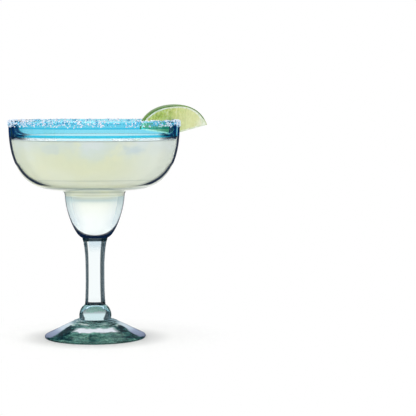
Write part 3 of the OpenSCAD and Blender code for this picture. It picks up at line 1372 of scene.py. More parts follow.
@dataclass
class Glassware:
    """The glass itself, from foot to rim.

    Attributes:
        shape: Outline of the bowl.
        seam: Width of the seam between two pieces of glass.
        seat: Radius of the collar's seat on the foot.
        edge: Radius of the foot's rounded edge.
        hollow_depth: Depth of the foot's hollow underside.
        scar: Radius, half width and depth of the ring scar in it.
        fold_depth: Depth of the collar's folds.
        knop_drop: Height of the knop's widest place over its base.
        knop_round: Radius of the knop's curve.
        waist: Radius of the stem's waist, and its share of the stem's height.
        stem_foot: Radius of the stem on the knop.
        green: Loss of red, green and blue light per metre of the foot's glass.
    """

    shape: BowlShape
    seam: float = 0.02 * MM
    seat: float = 17.2 * MM
    edge: float = 1.2 * MM
    hollow_depth: float = 2.4 * MM
    scar: tuple[float, float, float] = (6.5 * MM, 0.8 * MM, 0.7 * MM)
    fold_depth: float = 0.6 * MM
    knop_drop: float = 2.6 * MM
    knop_round: float = 11.1 * MM
    waist: Point = (7.4 * MM, 0.4)
    stem_foot: float = 7.97 * MM
    green: Colour = (34.0, 19.0, 21.0)

    def build(self) -> None:
        """Builds every glass piece."""
        for build in (self.foot, self.collar, self.knop, self.stem, self.bowl, self.rim_band):
            build()

    def span(self, node: str) -> tuple[float, float, float]:
        """Gives the base, the height and the half width of a piece between its seams."""
        low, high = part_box(node)
        return low[2] + self.seam, high[2] - low[2] - 2 * self.seam, high[0]

    def stack(self, base: float, height: float, radii: list[float]) -> list[Point]:
        """Gives the closed outline of a turned piece from its radii at even heights.

        Args:
            base: Height of the piece's base.
            height: Height of the piece.
            radii: Its radii at even heights, from the base up.

        Returns:
            Radius and height of each corner.
        """
        last = len(radii) - 1
        side = [(radius, base + height * i / last) for i, radius in enumerate(radii)]
        return [(0, base)] + side + [(0, base + height)]

    def lumps(
        self, base: float, height: float, depth: float, width: float, soft: float
    ) -> Callable[[Vector], Vector]:
        """Makes the move that presses shallow lumps into a turned piece, away from its ends.

        Args:
            base: Height of the piece's base.
            height: Height of the piece.
            depth: Depth of the lumps.
            width: Width of the lumps.
            soft: Distance from the ends over which they fade.

        Returns:
            The move of one corner.
        """
        def press(place: Vector) -> Vector:
            """Presses a corner inwards, unless it lies near the axis.

            Args:
                place: Place of the corner.

            Returns:
                Its new place.
            """
            out = off_axis(place)
            if out <= 5 * MM:
                return place
            ends = smooth(place.z - base, 0, soft) * smooth(base + height - place.z, 0, soft)
            return widened(place, 1 - depth * ends * swell(place, width) / out)

        return press

    def foot(self) -> None:
        """Builds the foot with its hollow underside and its uneven top."""
        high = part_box("foot")[1]
        radius, height = high[0], high[2]
        edge, seat = self.edge, self.seat
        hollow = radius - edge - 5 * MM
        slope = math.degrees(math.atan2(height - 2 * edge, radius - edge - seat))
        middle, half, depth = self.scar
        under = []
        for i in range(49):
            r = hollow * i / 48
            scar = max(0.0, 1 - ((r - middle) / half) ** 2)
            under.append((r, self.hollow_depth * (1 - (r / hollow) ** 2) - depth * scar))
        rounded = arc((radius - edge, edge), edge, -90, 90 - slope)
        start = Vector(rounded[-1])
        end = Vector((seat, height - self.seam))
        flank = [tuple(start.lerp(end, i / 24)) for i in range(1, 25)]

        def uneven(place: Vector) -> Vector:
            """Raises or sinks a corner of the slope or of the hollow underside.

            Args:
                place: Place of the corner.

            Returns:
                Its new place.
            """
            out = off_axis(place)
            spot = Vector((place.x, place.y, 0)) / (9 * MM)
            rise = 0.0
            if place.z > self.hollow_depth and out < radius - 2 * edge:
                ends = smooth(out, seat, seat + 4 * MM) * smooth(radius - 2 * edge - out, 0, 4 * MM)
                rise = 0.3 * MM * ends * noise.noise(spot)
            elif place.z < self.hollow_depth and out < hollow:
                ends = smooth(out, 8 * MM, 11 * MM) * smooth(hollow - out, 0, 3 * MM)
                rise = 0.35 * MM * ends * noise.noise(spot * 1.3 + Vector((7, 0, 0)))
            return place + Vector((0, 0, rise))

        outline = under + rounded + flank + [(0, height - self.seam)]
        piece = turned("foot_glass", outline, steps=160, move=uneven, angle=35)
        # Painted glints, highlight band, refraction and shade on the foot.
        finish = PaintedFootGlass("foot_glass", self.green, height=height, seat=seat).material()
        dress(piece, "foot", Body.GLASS, Slot.FOOT, finish)

    def collar(self) -> None:
        """Builds the collar with its wandering folds."""
        base, height, _ = self.span("collar")

        def folded(place: Vector) -> Vector:
            """Pushes a corner outwards along the folds, unless it lies near the axis.

            Args:
                place: Place of the corner.

            Returns:
                Its new place.
            """
            out = off_axis(place)
            if out < 10 * MM:
                return place
            turn = math.atan2(place.y, place.x)
            share = (place.z - base) / height
            wander = 0.22 * math.sin(turn + 1.0) + 0.13 * math.sin(3 * turn)
            fold = abs(math.sin(math.tau * (share + wander * math.sin(math.pi * share))))
            ends = smooth(share, 0, 0.1) * smooth(1 - share, 0, 0.1)
            return widened(place, 1 + self.fold_depth * fold * ends / out)

        outline = self.stack(base, height, [self.seat - 4.95 * MM * i / 40 for i in range(41)])
        piece = turned("collar_glass", outline, steps=192, move=folded, angle=50)
        # Painted dark and light glints on the collar's folds.
        finish = PaintedFootGlass("collar_glass", self.green).material()
        dress(piece, "collar", Body.GLASS, Slot.FOOT, finish)

    def knop(self) -> None:
        """Builds the ball between foot and stem."""
        base, height, reach = self.span("knop")
        rises = [(height * i / 48 - self.knop_drop) / self.knop_round for i in range(49)]
        outline = self.stack(base, height, [reach * math.sqrt(1 - rise ** 2) for rise in rises])
        move = self.lumps(base, height, depth=0.3 * MM, width=8 * MM, soft=2 * MM)
        # Painted dark edges low on the knop and a painted teal glint on its upper part.
        finish = GlassFinish("knop_glass", (18.0, 8.0, 6.6), (
            PaintedEdgeLine(base + 1 * MM, base + 9 * MM, (
                (0.0, 0.0), (0.5, 0.0), (0.62, 0.7), (1.0, 0.9)), soft=1.5 * MM),
        ), linear(18, 50, 54), painted_glints_shades=(
            PaintedGlintShade(base + 6.4 * MM, base + 13 * MM, linear(116, 166, 154), side=0.3, wave=6 * MM),
        )).material()
        piece = turned("knop_glass", outline, steps=160, move=move, angle=50)
        dress(piece, "knop", Body.GLASS, Slot.FOOT, finish)

    def stem(self) -> None:
        """Builds the solid stem."""
        base, height, top = self.span("stem")
        thin, waist = self.waist
        radii = []
        for i in range(61):
            share = i / 60
            if share < waist:
                radii.append(thin + (self.stem_foot - thin) * (1 - share / waist) ** 2.2)
            else:
                radii.append(thin + (top - thin) * ((share - waist) / (1 - waist)) ** 3.2)
        outline = self.stack(base, height, radii)
        move = self.lumps(base, height, depth=0.12 * MM, width=12 * MM, soft=4 * MM)
        end = base + height
        # Painted dark lines round the stem's foot and top, and a painted pale blue glint below its top.
        finish = GlassFinish("stem_glass", (4.5, 0.8, 0.5), (
            PaintedEdgeLine(base - 1 * MM, base + 0.3 * MM, ((0.0, 1.0), (1.0, 1.0))),
            PaintedEdgeLine(end - 2.2 * MM, end - 0.12 * MM, (
                (0.0, 0.84), (0.3, 1.0), (1.0, 1.0)), soft=0.1 * MM),
        ), linear(14, 34, 42), painted_glints_shades=(
            PaintedGlintShade(end - 12 * MM, end + 1 * MM, linear(184, 210, 226), share=0.55, side=0.25,
                 soft=9 * MM),
        )).material()
        piece = turned("stem_glass", outline, steps=160, move=move, angle=50)
        dress(piece, "stem", Body.GLASS, Slot.CLEAR, finish)

    def bowl(self) -> None:
        """Builds the wide bowl and the small cup, in one."""
        s = self.shape
        seat = s.band_height - self.seam
        outer = s.outside(seat)
        outer[-1] = (outer[-1][0], outer[-1][1] + self.seam)
        outline = outer + [(0, outer[-1][1])] + s.inside(seat)[::-1]
        piece = turned("bowl_glass", outline, steps=224, move=s.waver, angle=40)
        # Painted dark lines along the edges of the wide bowl and the small cup, and painted pale glints
        # on their sides.
        finish = GlassFinish("bowl_glass", (4.4, 1.5, 1.3), (
            PaintedEdgeLine(s.floor_height + 17 * MM, s.top, (
                (0.0, 0.0), (0.755, 0.0), (0.785, 0.95), (1.0, 1.0)), soft=4 * MM),
            PaintedEdgeLine(s.floor_height + 3.4 * MM, s.floor_height + 20 * MM, (
                (0.0, 0.0), (0.66, 0.0), (0.70, 0.2), (0.735, 0.35), (0.76, 0.95), (0.86, 0.98),
                (0.89, 0.2), (1.0, 0.1)), (
                (0.0, 0.08), (0.23, 0.07), (0.53, 0.04), (0.9, 0.01), (1.0, 0.0)), 2 * MM),
            PaintedEdgeLine(s.band_height - 1.7 * MM, s.top, (
                (0.0, 0.0), (0.36, 0.0), (0.5, 0.9), (0.745, 0.95), (0.765, 0.1), (1.0, 0.05))),
            PaintedEdgeLine(s.base - 2 * MM, s.neck + 2.5 * MM, (
                (0.0, 0.0), (0.76, 0.0), (0.82, 0.85), (0.9, 0.92), (1.0, 1.0)), (
                (0.0, 0.88), (0.084, 0.85), (0.117, 0.55), (0.168, 0.42), (0.243, 0.26),
                (0.355, 0.11), (0.485, 0.03), (0.65, 0.0))),
        ), stripes=(
            Stripe(s.band_height - 0.5 * MM, s.top, s.radius - 0.6 * s.wall, (0.03, 0.55, 0.76)),
        ), painted_glints_shades=(
            PaintedGlintShade(s.base, s.neck, linear(184, 210, 226), share=0.42, side=1.1, soft=14 * MM,
                 rise=(0.0, 0.5)),
            PaintedGlintShade(s.floor_height + 4 * MM, s.surface, linear(226, 232, 222), share=0.3, side=1.1,
                 soft=3 * MM, rise=(0.05, 0.5)),
        )).material()
        dress(piece, "bowl", Body.GLASS, Slot.CLEAR, finish)

    def rim_band(self) -> None:
        """Builds the coloured band with its rounded lip."""
        s = self.shape
        depth = s.lip - s.band_height - self.seam
        heights = [s.lip - depth * (1 - i / 14) for i in range(14)]
        outer, inner = ([(wall(z)[0][0], z) for z in heights] for wall in (s.outer_wall, s.inner_wall))
        lip = arc((s.middle, s.lip), s.wall / 2, 0, 180, steps=16)
        piece = turned(
            "rim_band_glass", outer + lip + inner[::-1], steps=224, move=s.waver, angle=40)
        outer_face = s.radius - 0.6 * s.wall
        # Painted dark lines along the band's edges.
        finish = GlassFinish("aqua_glass", (280.0, 58.0, 20.0), (
            PaintedEdgeLine(s.band_height - 2 * MM, s.lip - 2.6 * MM, (
                (0.0, 0.0), (0.765, 0.0), (0.79, 1.0), (1.0, 1.0))),
            PaintedEdgeLine(s.band_height, s.lip - 2 * MM, (
                (0.0, 0.0), (0.57, 0.0), (0.63, 0.92), (0.715, 0.95), (0.735, 0.1), (1.0, 0.05)), (
                (0.0, 0.26), (0.08, 0.16), (0.2, 0.08), (0.4, 0.02), (0.6, 0.0), (1.0, 0.0))),
        ), linear(4, 40, 84), (
            Stripe(s.band_height - 1 * MM, s.band_height + 1.3 * MM, outer_face, (0.001, 0.46, 0.74)),
            Stripe(s.lip - 4.6 * MM, s.lip - 3.6 * MM, outer_face, (0.01, 0.55, 0.80)),
            Stripe(s.lip - 3.2 * MM, s.top + 1 * MM, 0.0, (0.3, 0.74, 0.86)),
        )).material()
        dress(piece, "rim_band", Body.GLASS, Slot.AQUA, finish)


@dataclass
class SaltCrust:
    """Grains of salt round the lip, with a gap for the lime wedge.

    Attributes:
        shape: Outline of the bowl.
        grains: Number of grains.
        gap: First and last direction of the gap, in degrees.
        outside: Height of the crust on the outer wall.
        inside: Height of the crust on the inner wall.
        spots: Number of spots across the lip at which grains can sit.
        sizes: Smallest and largest width of a grain.
    """

    shape: BowlShape
    grains: int = 2100
    gap: Point = (13.8, 24.2)
    outside: float = 3.6 * MM
    inside: float = 2.6 * MM
    spots: int = 200
    sizes: Point = (0.36 * MM, 0.82 * MM)

    def crystals(self, chance: random.Random) -> list[bpy.types.Object]:
        """Models a few different broken crystals.

        Args:
            chance: Source of the random draws.

        Returns:
            The crystals, 1 m wide.
        """
        made = []
        for i in range(8):
            crystal = new_cube(f"crystal_{i}")
            for vertex in crystal.data.vertices:
                vertex.co += Vector(chance.uniform(-0.13, 0.13) for _ in range(3))
            normal = Vector(chance.uniform(-1, 1) for _ in range(3)).normalized()
            bpy.ops.object.mode_set(mode="EDIT")
            bpy.ops.mesh.select_all(action="SELECT")
            bpy.ops.mesh.bisect(
                plane_co=normal * 0.42, plane_no=normal, use_fill=True, clear_outer=True)
            bpy.ops.object.mode_set(mode="OBJECT")
            tidy_mesh(crystal)
            made.append(crystal)
        return made

    def section(self, share: float) -> tuple[Point, Point]:
        """Gives a point of the lip's outline and the way out of the glass there.

        Args:
            share: Share of the way from the crust's outer edge to its inner edge.

        Returns:
            Radius and height of the point, and the same of the way out.
        """
        s = self.shape
        half = s.wall / 2
        along = share * (self.outside + math.pi * half + self.inside)
        if along < self.outside:
            height = s.lip - self.outside + along
            return (s.outer_wall(height)[0][0], height), (1, 0)
        along -= self.outside
        if along < math.pi * half:
            out, up = math.cos(along / half), math.sin(along / half)
            return (s.middle + half * out, s.lip + half * up), (out, up)
        height = s.lip - (along - math.pi * half)
        return (s.inner_wall(height)[0][0], height), (-1, 0)

    def grain(
        self, chance: random.Random, kinds: list[bpy.types.Object], wall: tuple[Point, Point],
        turn: float, reach: float
    ) -> bpy.types.Object:
        """Places one tumbled grain on the lip.

        Args:
            chance: Source of the random draws.
            kinds: The crystals that are copied.
            wall: Point of the lip's outline and the way out of the glass there.
            turn: Direction of the grain.
            reach: Radius that no grain passes.

        Returns:
            The grain.
        """
        (radius, height), (out, up) = wall
        size = chance.uniform(*self.sizes)
        lift = size * 0.22
        middle = Vector((radius + out * lift, 0, height + up * lift))
        axis = Vector(chance.uniform(-1, 1) for _ in range(3)).normalized()
        tumble = Matrix.Rotation(chance.uniform(0, math.tau), 4, axis)
        mesh = chance.choice(kinds).data.copy()
        mesh.transform(Matrix.Translation(middle) @ tumble @ Matrix.Scale(size, 4))
        mesh.transform(Matrix.Rotation(turn, 4, "Z"))
        for vertex in mesh.vertices:
            vertex.co = widened(vertex.co, min(1.0, reach / off_axis(vertex.co)))
        piece = bpy.data.objects.new("grain", mesh)
        bpy.context.collection.objects.link(piece)
        return piece

    def build(self) -> None:
        """Scatters the grains in loose patches and joins them."""
        chance = random.Random(7)
        kinds = self.crystals(chance)
        walls = [self.section(i / self.spots) for i in range(self.spots + 1)]
        first, last = (math.radians(a) for a in self.gap)
        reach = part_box("salt_rim")[1][1] - 0.03 * MM
        parts = []
        while len(parts) < self.grains:
            turn = chance.uniform(last, math.tau + first)
            share = chance.betavariate(1.15, 1.0)
            patch = noise.noise(Vector((math.cos(turn) * 9, math.sin(turn) * 9, share * 2.5)))
            edge = min(share, 1 - share) * 8
            if chance.random() > min(1.0, max(0.08, 0.45 + 1.6 * patch)) * min(1.0, 0.3 + edge):
                continue
            parts.append(self.grain(chance, kinds, walls[int(share * self.spots)], turn, reach))
        batches = [join(parts[i:i + 400], "grains") for i in range(0, len(parts), 400)]
        crust = join(batches, "salt_grains")
        remove(kinds)
        dress(crust, "salt_rim", Body.GLASS, Slot.SALT, SaltFinish("salt").material())


@dataclass
class Ice:
    """The ice cubes in the drink.

    Attributes:
        cubes: Node, body and turn about its own upright axis in degrees, of each cube.
        edge: Width of the melted edges, as a share of the cube's.
        dent: Depth of the dents, as a share of the distance from the middle.
    """

    cubes: tuple[tuple[str, Body, float], ...] = (
        ("ice_cube_1", Body.ICE_1, 209.0), ("ice_cube_2", Body.ICE_2, -19.0),
        ("ice_cube_3", Body.ICE_3, -5.0))
    edge: float = 0.16
    dent: float = 0.035

    def build(self) -> None:
        """Builds each cube with melted edges."""
        for node, body, turn in self.cubes:
            low, high = (Vector(corner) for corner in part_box(node))
            centre, size = (low + high) / 2, high.z - low.z
            cube = new_cube(f"{node}_melted", size * 0.995)
            apply_modifier(cube, "BEVEL", width=size * self.edge, segments=3, profile=0.6)
            apply_modifier(cube, "SUBSURF", levels=3)
            for vertex in cube.data.vertices:
                vertex.co *= 1 - self.dent * swell(vertex.co, 6 * MM, turn)
            top = max(vertex.co.z for vertex in cube.data.vertices)
            cube.data.transform(Matrix.Translation((0, 0, size * 0.498 - top)))
            cube.data.transform(Matrix.Translation(centre) @ degrees_turn(turn, "Z"))
            tidy_mesh(cube)
            shade(cube, angle=60)
            dress(cube, node, body, Slot.ICE, IceFinish(node, centre, size).material())


@dataclass
class Filling:
    """The drink, up to its surface.

    Attributes:
        shape: Outline of the bowl.
        cold: Directions of the grey places beside the ice in degrees, and how strong they are.
        overlap: How far the drink reaches into the glass, so that no air shows between them.
        ripple: Depth of the ripples on its surface.
    """

    shape: BowlShape
    cold: tuple[Point, ...] = ((-121.0, 0.5), (-65.0, 0.85), (168.0, 0.8))
    overlap: float = 0.08 * MM
    ripple: float = 0.06 * MM

    def build(self) -> None:
        """Builds the drink."""
        s = self.shape
        top = s.surface
        wall = s.inside(top, self.overlap)
        reach = wall[0][0]

        def move(place: Vector) -> Vector:
            """Ripples a corner of the surface, and lets one of the side waver with the glass.

            Args:
                place: Place of the corner.

            Returns:
                Its new place.
            """
            out = off_axis(place)
            if place.z <= top - SAME_PLACE or out >= reach - 0.01 * MM:
                return s.waver(place)
            sink = self.ripple * swell(place, 11 * MM) * smooth(reach - out, 0, 5 * MM)
            return place - Vector((0, 0, sink))

        rings = [(reach * i / 24, top) for i in range(24)]
        piece = turned("drink_body", rings + wall, steps=192, move=move, angle=40)
        start = Vector((s.radius - 4 * MM, 0, top - 7 * MM))
        cold = tuple((degrees_turn(turn, "Z") @ start, strong) for turn, strong in self.cold)
        finish = DrinkFinish("drink", cold, top, s.neck, s.floor_height).material()
        dress(piece, "drink", Body.GLASS, Slot.DRINK, finish)


@dataclass
class LimeWedge:
    """The wedge of lime on the rim, bent about its slit.

    Its own frame has x along the wedge, z up from the wedge's edge and its origin on the
    middle of the glass wall.

    Attributes:
        shape: Outline of the bowl.
        radius: Radius of the whole lime.
        half: Half the length of the whole lime.
        tip: Length of the nipple.
        angle: Half the angle of the wedge in degrees.
        zest: Thickness of the green peel.
        pith: Thickness of the white pith.
        core: Thickness of the core strip.
        web: Half the angle of a membrane in degrees.
        membranes: Directions of the membranes, as shares of the wedge's angle.
        slit: Depth of the slit.
        play: Space between the slit and the rim.
        azimuth: Direction of the wedge in degrees.
        rise: Rise of the wedge outwards in degrees.
        lean: Lean of the wedge to the back in degrees.
        bow: Height of the edge's ends over its middle, as a share of the radius.
        out: Offset of the wedge outwards, as a share of its half length.
        skin: Depth of the finished peel below the lime's rough outside.
        dimple: Depth of the hollows between the juice cells on a cut.
    """

    shape: BowlShape
    radius: float = 23.6 * MM
    half: float = 28.0 * MM
    tip: float = 2.8 * MM
    angle: float = 25
    zest: float = 0.8 * MM
    pith: float = 1.3 * MM
    core: float = 1.3 * MM
    web: float = 0.6
    membranes: Point = (-0.18, 0.32)
    slit: float = 11.9 * MM
    play: float = 0.3 * MM
    azimuth: float = 19
    rise: float = 2.5
    lean: float = 8
    bow: float = 0.24
    out: float = 0.035
    skin: float = 0.04 * MM
    dimple: float = 0.16 * MM

    def frame(self) -> Matrix:
        """Gives the move from the wedge's own frame to the glass."""
        s = self.shape
        return (
            degrees_turn(self.azimuth, "Z")
            @ Matrix.Translation((s.middle, 0, s.top + self.play - self.slit))
            @ degrees_turn(-self.rise, "Y") @ degrees_turn(-self.lean, "X"))

    def rind(self, turn: float, inset: float, tip: float) -> Point:
        """Gives the place along the lime and its radius there.

        Args:
            turn: Angle along the outline, from 0 at the inner end to pi at the tip.
            inset: Depth below the peel's outside.
            tip: Length of the nipple at that depth.

        Returns:
            The place along x and the radius about x.
        """
        across = math.cos(turn)
        power = 2 / 2.18
        along = math.copysign((self.half - inset) * abs(across) ** power, -across)
        along += tip * ((1 - across) / 2) ** 18 + self.half * self.out
        return along, (self.radius - inset) * max(0.0, math.sin(turn)) ** power

    def edge(self, along: float) -> float:
        """Gives the height of the wedge's edge at a place along it."""
        return abs(along) * self.bow * self.radius / self.half

    def run(self, inset: float, tip: float, least: float) -> Callable[[float], Point]:
        """Makes the rind between the places where it comes near to the wedge's edge.

        Args:
            inset: Depth below the peel's outside.
            tip: Length of the nipple at that depth.
            least: Distance between rind and edge at the ends.

        Returns:
            The rind's place and radius, from a share of the way from its inner end to the tip.
        """
        ends = []
        for far in (0.0, math.pi):
            near = math.pi / 2
            for _ in range(40):
                middle = (far + near) / 2
                along, radius = self.rind(middle, inset, tip)
                far, near = (far, middle) if radius - self.edge(along) > least else (middle, near)
            ends.append(near)
        start, end = ends
        return lambda share: self.rind(start + (end - start) * share, inset, tip)

    def at(self, along: float, radius: float, turn: float, near: float) -> Vector:
        """Gives a place in a section of the wedge.

        Args:
            along: Place along the wedge.
            radius: Radius of the rind about the lime's axis.
            turn: Angle about the wedge's edge.
            near: Distance from the edge, or below 0 for the rind itself.

        Returns:
            The place in the wedge's own frame.
        """
        edge = self.edge(along)
        across = math.sin(turn) * edge
        reach = math.sqrt(max(0.0, radius * radius - across * across)) - edge * math.cos(turn)
        length = max(0.0, reach if near < 0 else min(near, reach))
        return Vector((along, -length * math.sin(turn), edge + length * math.cos(turn)))

    def shell(self, name: str, outer: float, inner: float, tips: Point) -> bpy.types.Object:
        """Builds a layer of the rind.

        Args:
            name: Name of the new object.
            outer: Depth of its outside.
            inner: Depth of its inside.
            tips: Length of the nipple at both depths.

        Returns:
            The layer.
        """
        wide = math.radians(self.angle)
        skins = self.run(inner, tips[1], 0), self.run(outer, tips[0], 0)

        def place(x: float, y: float, z: float) -> Vector:
            """Places one corner."""
            return self.at(*skins[z > 0.5](x), (2 * y - 1) * wide, -1)

        return warped_block(name, cuts=(95, 15, 0), place=place)

    def sector(self, name: str, first: float, last: float) -> bpy.types.Object:
        """Builds one segment of flesh, with hollows between the juice cells on its cuts.

        Args:
            name: Name of the new object.
            first: Angle of its first cut in degrees.
            last: Angle of its last cut in degrees.

        Returns:
            The segment.
        """
        run = self.run(self.zest + self.pith, 0, self.core)

        def place(x: float, y: float, z: float) -> Vector:
            """Places one corner.

            Args:
                x: Share along the wedge.
                y: Share across it.
                z: Share from its edge to the rind.

            Returns:
                Place of the corner.
            """
            turn = math.radians(first + (last - first) * y)
            along, radius = run(x)
            spot = self.at(along, radius, turn, self.core).lerp(self.at(along, radius, turn, -1), z)
            cell = noise.noise(Vector((along / (1.1 * MM) + z * 2.5, z * 5, first))) * 0.5 + 0.5
            ends = smooth(z, 0, 0.12) * smooth(1 - z, 0, 0.12) * smooth(math.sin(math.pi * x), 0, 0.3)
            side = (y > 0.99) - (y < 0.01)
            spot.y += side * self.dimple * cell * ends * math.cos(turn)
            return spot

        return warped_block(name, cuts=(119, 5, 27), place=place)

    def webs(self, walls: list[Point]) -> bpy.types.Object:
        """Builds the core strip with the membranes that stand on it.

        Args:
            walls: First and last angle of each membrane in degrees.

        Returns:
            Both in one.
        """
        wide = math.radians(self.angle)
        depth = self.zest + self.pith
        whole, high = self.run(depth, 0, 0), self.run(depth, 0, self.core)

        def strip(x: float, y: float, z: float) -> Vector:
            """Places one corner of the core strip."""
            return self.at(*whole(x), (2 * y - 1) * wide, self.core * z)

        parts = [warped_block("core", cuts=(95, 7, 0), place=strip)]
        for first, last in walls:
            def wall(x: float, y: float, z: float) -> Vector:
                """Places one corner of a membrane.

                Args:
                    x: Share along the wedge.
                    y: Share across it.
                    z: Share from its edge to the rind.

                Returns:
                    Place of the corner.
                """
                along, radius = high(x)
                turn = math.radians(first + (last - first) * y)
                start = self.at(along, radius, turn, self.core)
                return start.lerp(self.at(along, radius, turn, -1), z)

            parts.append(warped_block("membrane", cuts=(95, 0, 0), place=wall))
        return join(parts, "lime_core")

    def cutter(self) -> bpy.types.Object:
        """Builds the ring that cuts the slit.

        Returns:
            The ring.
        """
        s = self.shape
        inner, outer = s.radius - s.wall - self.play, s.radius + self.play
        low, high = s.top - 40 * MM, s.top + self.play
        section = [(inner, low), (outer, low), (outer, high), (inner, high)]
        return lathe("slit_cutter", section, steps=256)

    def build(self) -> None:
        """Builds the peel, the pith, the membranes and the segments, and cuts the slit."""
        s = self.shape
        tip = self.frame() @ self.at(*self.run(self.skin, self.tip, 0)(1), 0, -1)
        green = ZestFinish("lime_zest", tip).material()
        white = PithFinish("lime_pith").material()
        pulp = FleshFinish("lime_flesh", tip, (s.middle, s.top)).material()
        walls = [
            (share * 2 * self.angle - self.web, share * 2 * self.angle + self.web)
            for share in self.membranes]
        (start_1, end_1), (start_2, end_2) = walls
        pieces = (
            (self.shell("lime_zest_peel", self.skin, self.zest, (self.tip, self.tip)),
             "lime_zest", Slot.ZEST, green),
            (self.shell("lime_pith_layer", self.zest, self.zest + self.pith, (self.tip, 0)),
             "lime_pith", Slot.PITH, white),
            (self.webs(walls), "lime_membrane", Slot.PITH, white),
            (self.sector("lime_flesh_1", -self.angle, start_1), "lime_segment_1", Slot.FLESH, pulp),
            (self.sector("lime_flesh_2", end_1, start_2), "lime_segment_2", Slot.FLESH, pulp),
            (self.sector("lime_flesh_3", end_2, self.angle), "lime_segment_3", Slot.FLESH, pulp),
        )
        cutter = self.cutter()
        for piece, node, slot, finish in pieces:
            piece.data.transform(self.frame())
            apply_modifier(piece, "BOOLEAN", operation="DIFFERENCE", object=cutter, solver="EXACT")
            tidy_mesh(piece)
            shade(piece, angle=40)
            dress(piece, node, Body.LIME, slot, finish)
        remove([cutter])


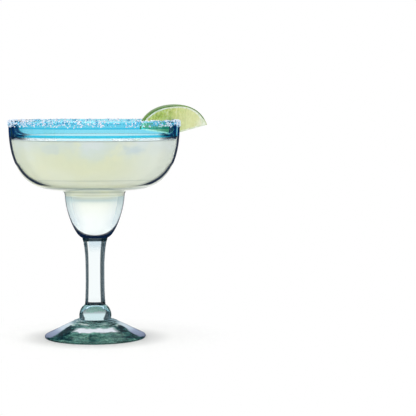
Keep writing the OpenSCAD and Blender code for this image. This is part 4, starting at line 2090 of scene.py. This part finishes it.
@dataclass
class Studio:
    """Camera, lamp, floor and white surroundings.

    Attributes:
        distance: Distance of the camera from the glass.
        height: Height of the camera.
        focal_px: Focal length in pixels of the photograph.
        frame_px: Width of the photograph in pixels.
        glass_px: Column of the glass's axis.
        horizon_px: Row of the horizon.
        light: Node group that tells how light the studio is in a direction.
    """

    distance: float = 1.2
    height: float = 0.1847
    focal_px: float = 1558
    frame_px: float = 416
    glass_px: float = 94.5
    horizon_px: float = 98
    light: Effect = field(init=False)

    def build(self) -> None:
        """Builds the whole studio."""
        self.light = Effect(
            "studio_light", (("Direction", "Vector"),), (("Colour", "Color"),), self.surroundings)
        self.camera()
        self.floor()
        self.world()
        self.lamp()

    def aim(self) -> tuple[float, float]:
        """Gives how far the photograph's view turns right and down from straight ahead."""
        middle = self.frame_px / 2
        return (
            math.atan((middle - self.glass_px) / self.focal_px),
            math.atan((middle - self.horizon_px) / self.focal_px))

    def camera(self) -> None:
        """Places the camera at the photograph's viewing angle."""
        deselect_all()
        bpy.ops.object.camera_add(location=(0, -self.distance, self.height))
        camera = bpy.context.object
        camera.name = "camera"
        yaw, pitch = self.aim()
        camera.rotation_euler = (math.pi / 2 - pitch, 0, -yaw)
        camera.data.sensor_width = 36
        camera.data.lens = camera.data.sensor_width * self.focal_px / self.frame_px
        camera.data.clip_start = 10 * MM
        bpy.context.scene.camera = camera

    def surroundings(self, build: Shader, direction: Socket) -> tuple[Socket]:
        """Tells how light the studio is in a direction.

        The wall behind the glass is white, dark flags stand beside it with one light gap,
        and a soft light stands in front. They stay where they are in every view.

        Args:
            build: The group that gets the nodes.
            direction: The direction in the room.

        Returns:
            The colour there.
        """
        yaw, pitch = self.aim()
        right = (math.cos(yaw), -math.sin(yaw), 0.0)
        ahead = (
            math.sin(yaw) * math.cos(pitch), math.cos(yaw) * math.cos(pitch), -math.sin(pitch))
        across, along = (build.vector_maths("DOT_PRODUCT", direction, axis) for axis in (right, ahead))
        aside = build.maths("ARCTAN2", build.maths("ABSOLUTE", across), along)
        dark, glow, soft = (0.03, 0.058, 0.07), (0.16, 0.21, 0.26), (0.8, 0.82, 0.84)
        return (build.ramp(build.maths("DIVIDE", aside, math.pi), (
            (0.0, CLEAR), (0.140, CLEAR), (0.156, dark), (0.27, dark), (0.28, glow),
            (0.30, glow), (0.31, dark), (0.40, dark), (0.45, soft), (1.0, soft))),)

    def first_look(self, build: Shader) -> tuple[bpy.types.Node, Socket]:
        """Gives the light path, and 1 for rays that only passed through or off glass.

        Args:
            build: The tree that gets the nodes.

        Returns:
            The light path's node, and the share of such rays.
        """
        rays = build.add("ShaderNodeLightPath")
        sharp = build.highest(rays.outputs["Is Glossy Ray"], rays.outputs["Is Transmission Ray"])
        clear = build.maths("LESS_THAN", rays.outputs["Diffuse Depth"], 0.5)
        return rays, build.product(sharp, clear)

    def floor(self) -> None:
        """Builds the pale floor, with a painted shadow round the foot; beyond it the glass sees the
        floor as light as the studio behind it.
        """
        deselect_all()
        bpy.ops.mesh.primitive_plane_add(size=8, location=(0, 0, -0.15 * MM))
        floor = bpy.context.object
        floor.name = "floor"
        build = Shader.of_material("floor_paper")
        rays, clear = self.first_look(build)
        straight = rays.outputs["Is Camera Ray"]
        out = build.vector_maths("LENGTH", build.place())
        shadow = build.product(build.mask(out, 40 * MM, 64 * MM, 0.26, 0), straight)
        paper = build.add("ShaderNodeBsdfDiffuse", Color=build.maths("SUBTRACT", 0.9, shadow))
        plain = build.add("ShaderNodeEmission", Color=CLEAR)
        share = build.product(build.mask(out, 36 * MM, 120 * MM, 0.2, 1), straight)
        seen = build.blend(share, paper.outputs[0], plain.outputs[0])
        # Seen through glass, the floor is painted darker near the foot, as a painted shadow.
        through = build.add(
            "ShaderNodeEmission", Color=build.use(self.light, build.place())[0],
            Strength=build.mask(out, 34 * MM, 90 * MM, 0.18, 1))
        shader = build.blend(clear, seen, through.outputs[0])
        build.feed(build.output.inputs["Surface"], shader)
        floor.data.materials.append(build.material)

    def world(self) -> None:
        """Makes the surroundings: white to the camera, and with dark sides to the glass.

        What lies behind glass is lit more, because the glass takes some of its light.
        """
        world = bpy.data.worlds.new("studio")
        bpy.context.scene.world = world
        world.use_nodes = True
        build = Shader(world.node_tree)
        build.tree.nodes.clear()
        level = build.use(self.light, build.add("ShaderNodeTexCoord").outputs["Generated"])[0]
        rays, clear = self.first_look(build)
        matt = build.maths("GREATER_THAN", rays.outputs["Diffuse Depth"], 0.5)
        behind = build.maths("GREATER_THAN", rays.outputs["Transmission Depth"], 0.5)
        light = build.add(
            "ShaderNodeBackground", Color=build.mix(clear, CLEAR, level),
            Strength=build.maths("ADD", build.product(matt, behind), 1.0))
        build.add("ShaderNodeOutputWorld", Surface=light.outputs[0])

    def lamp(self) -> None:
        """Hangs a large soft lamp over the glass."""
        deselect_all()
        bpy.ops.object.light_add(type="AREA", location=(-0.3, -0.3, 1.0))
        lamp = bpy.context.object
        lamp.data.size = 1.2
        lamp.data.energy = 3
        lamp.rotation_euler = (math.radians(15), math.radians(-15), 0)


def main() -> None:
    """Builds the studio and every piece."""
    logging.basicConfig(level=logging.INFO, format="%(message)s")
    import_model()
    bpy.context.scene.view_settings.view_transform = "Standard"
    Studio().build()
    shape = BowlShape()
    Glassware(shape).build()
    Filling(shape).build()
    Ice().build()
    SaltCrust(shape).build()
    LimeWedge(shape).build()


if __name__ == "__main__":
    main()
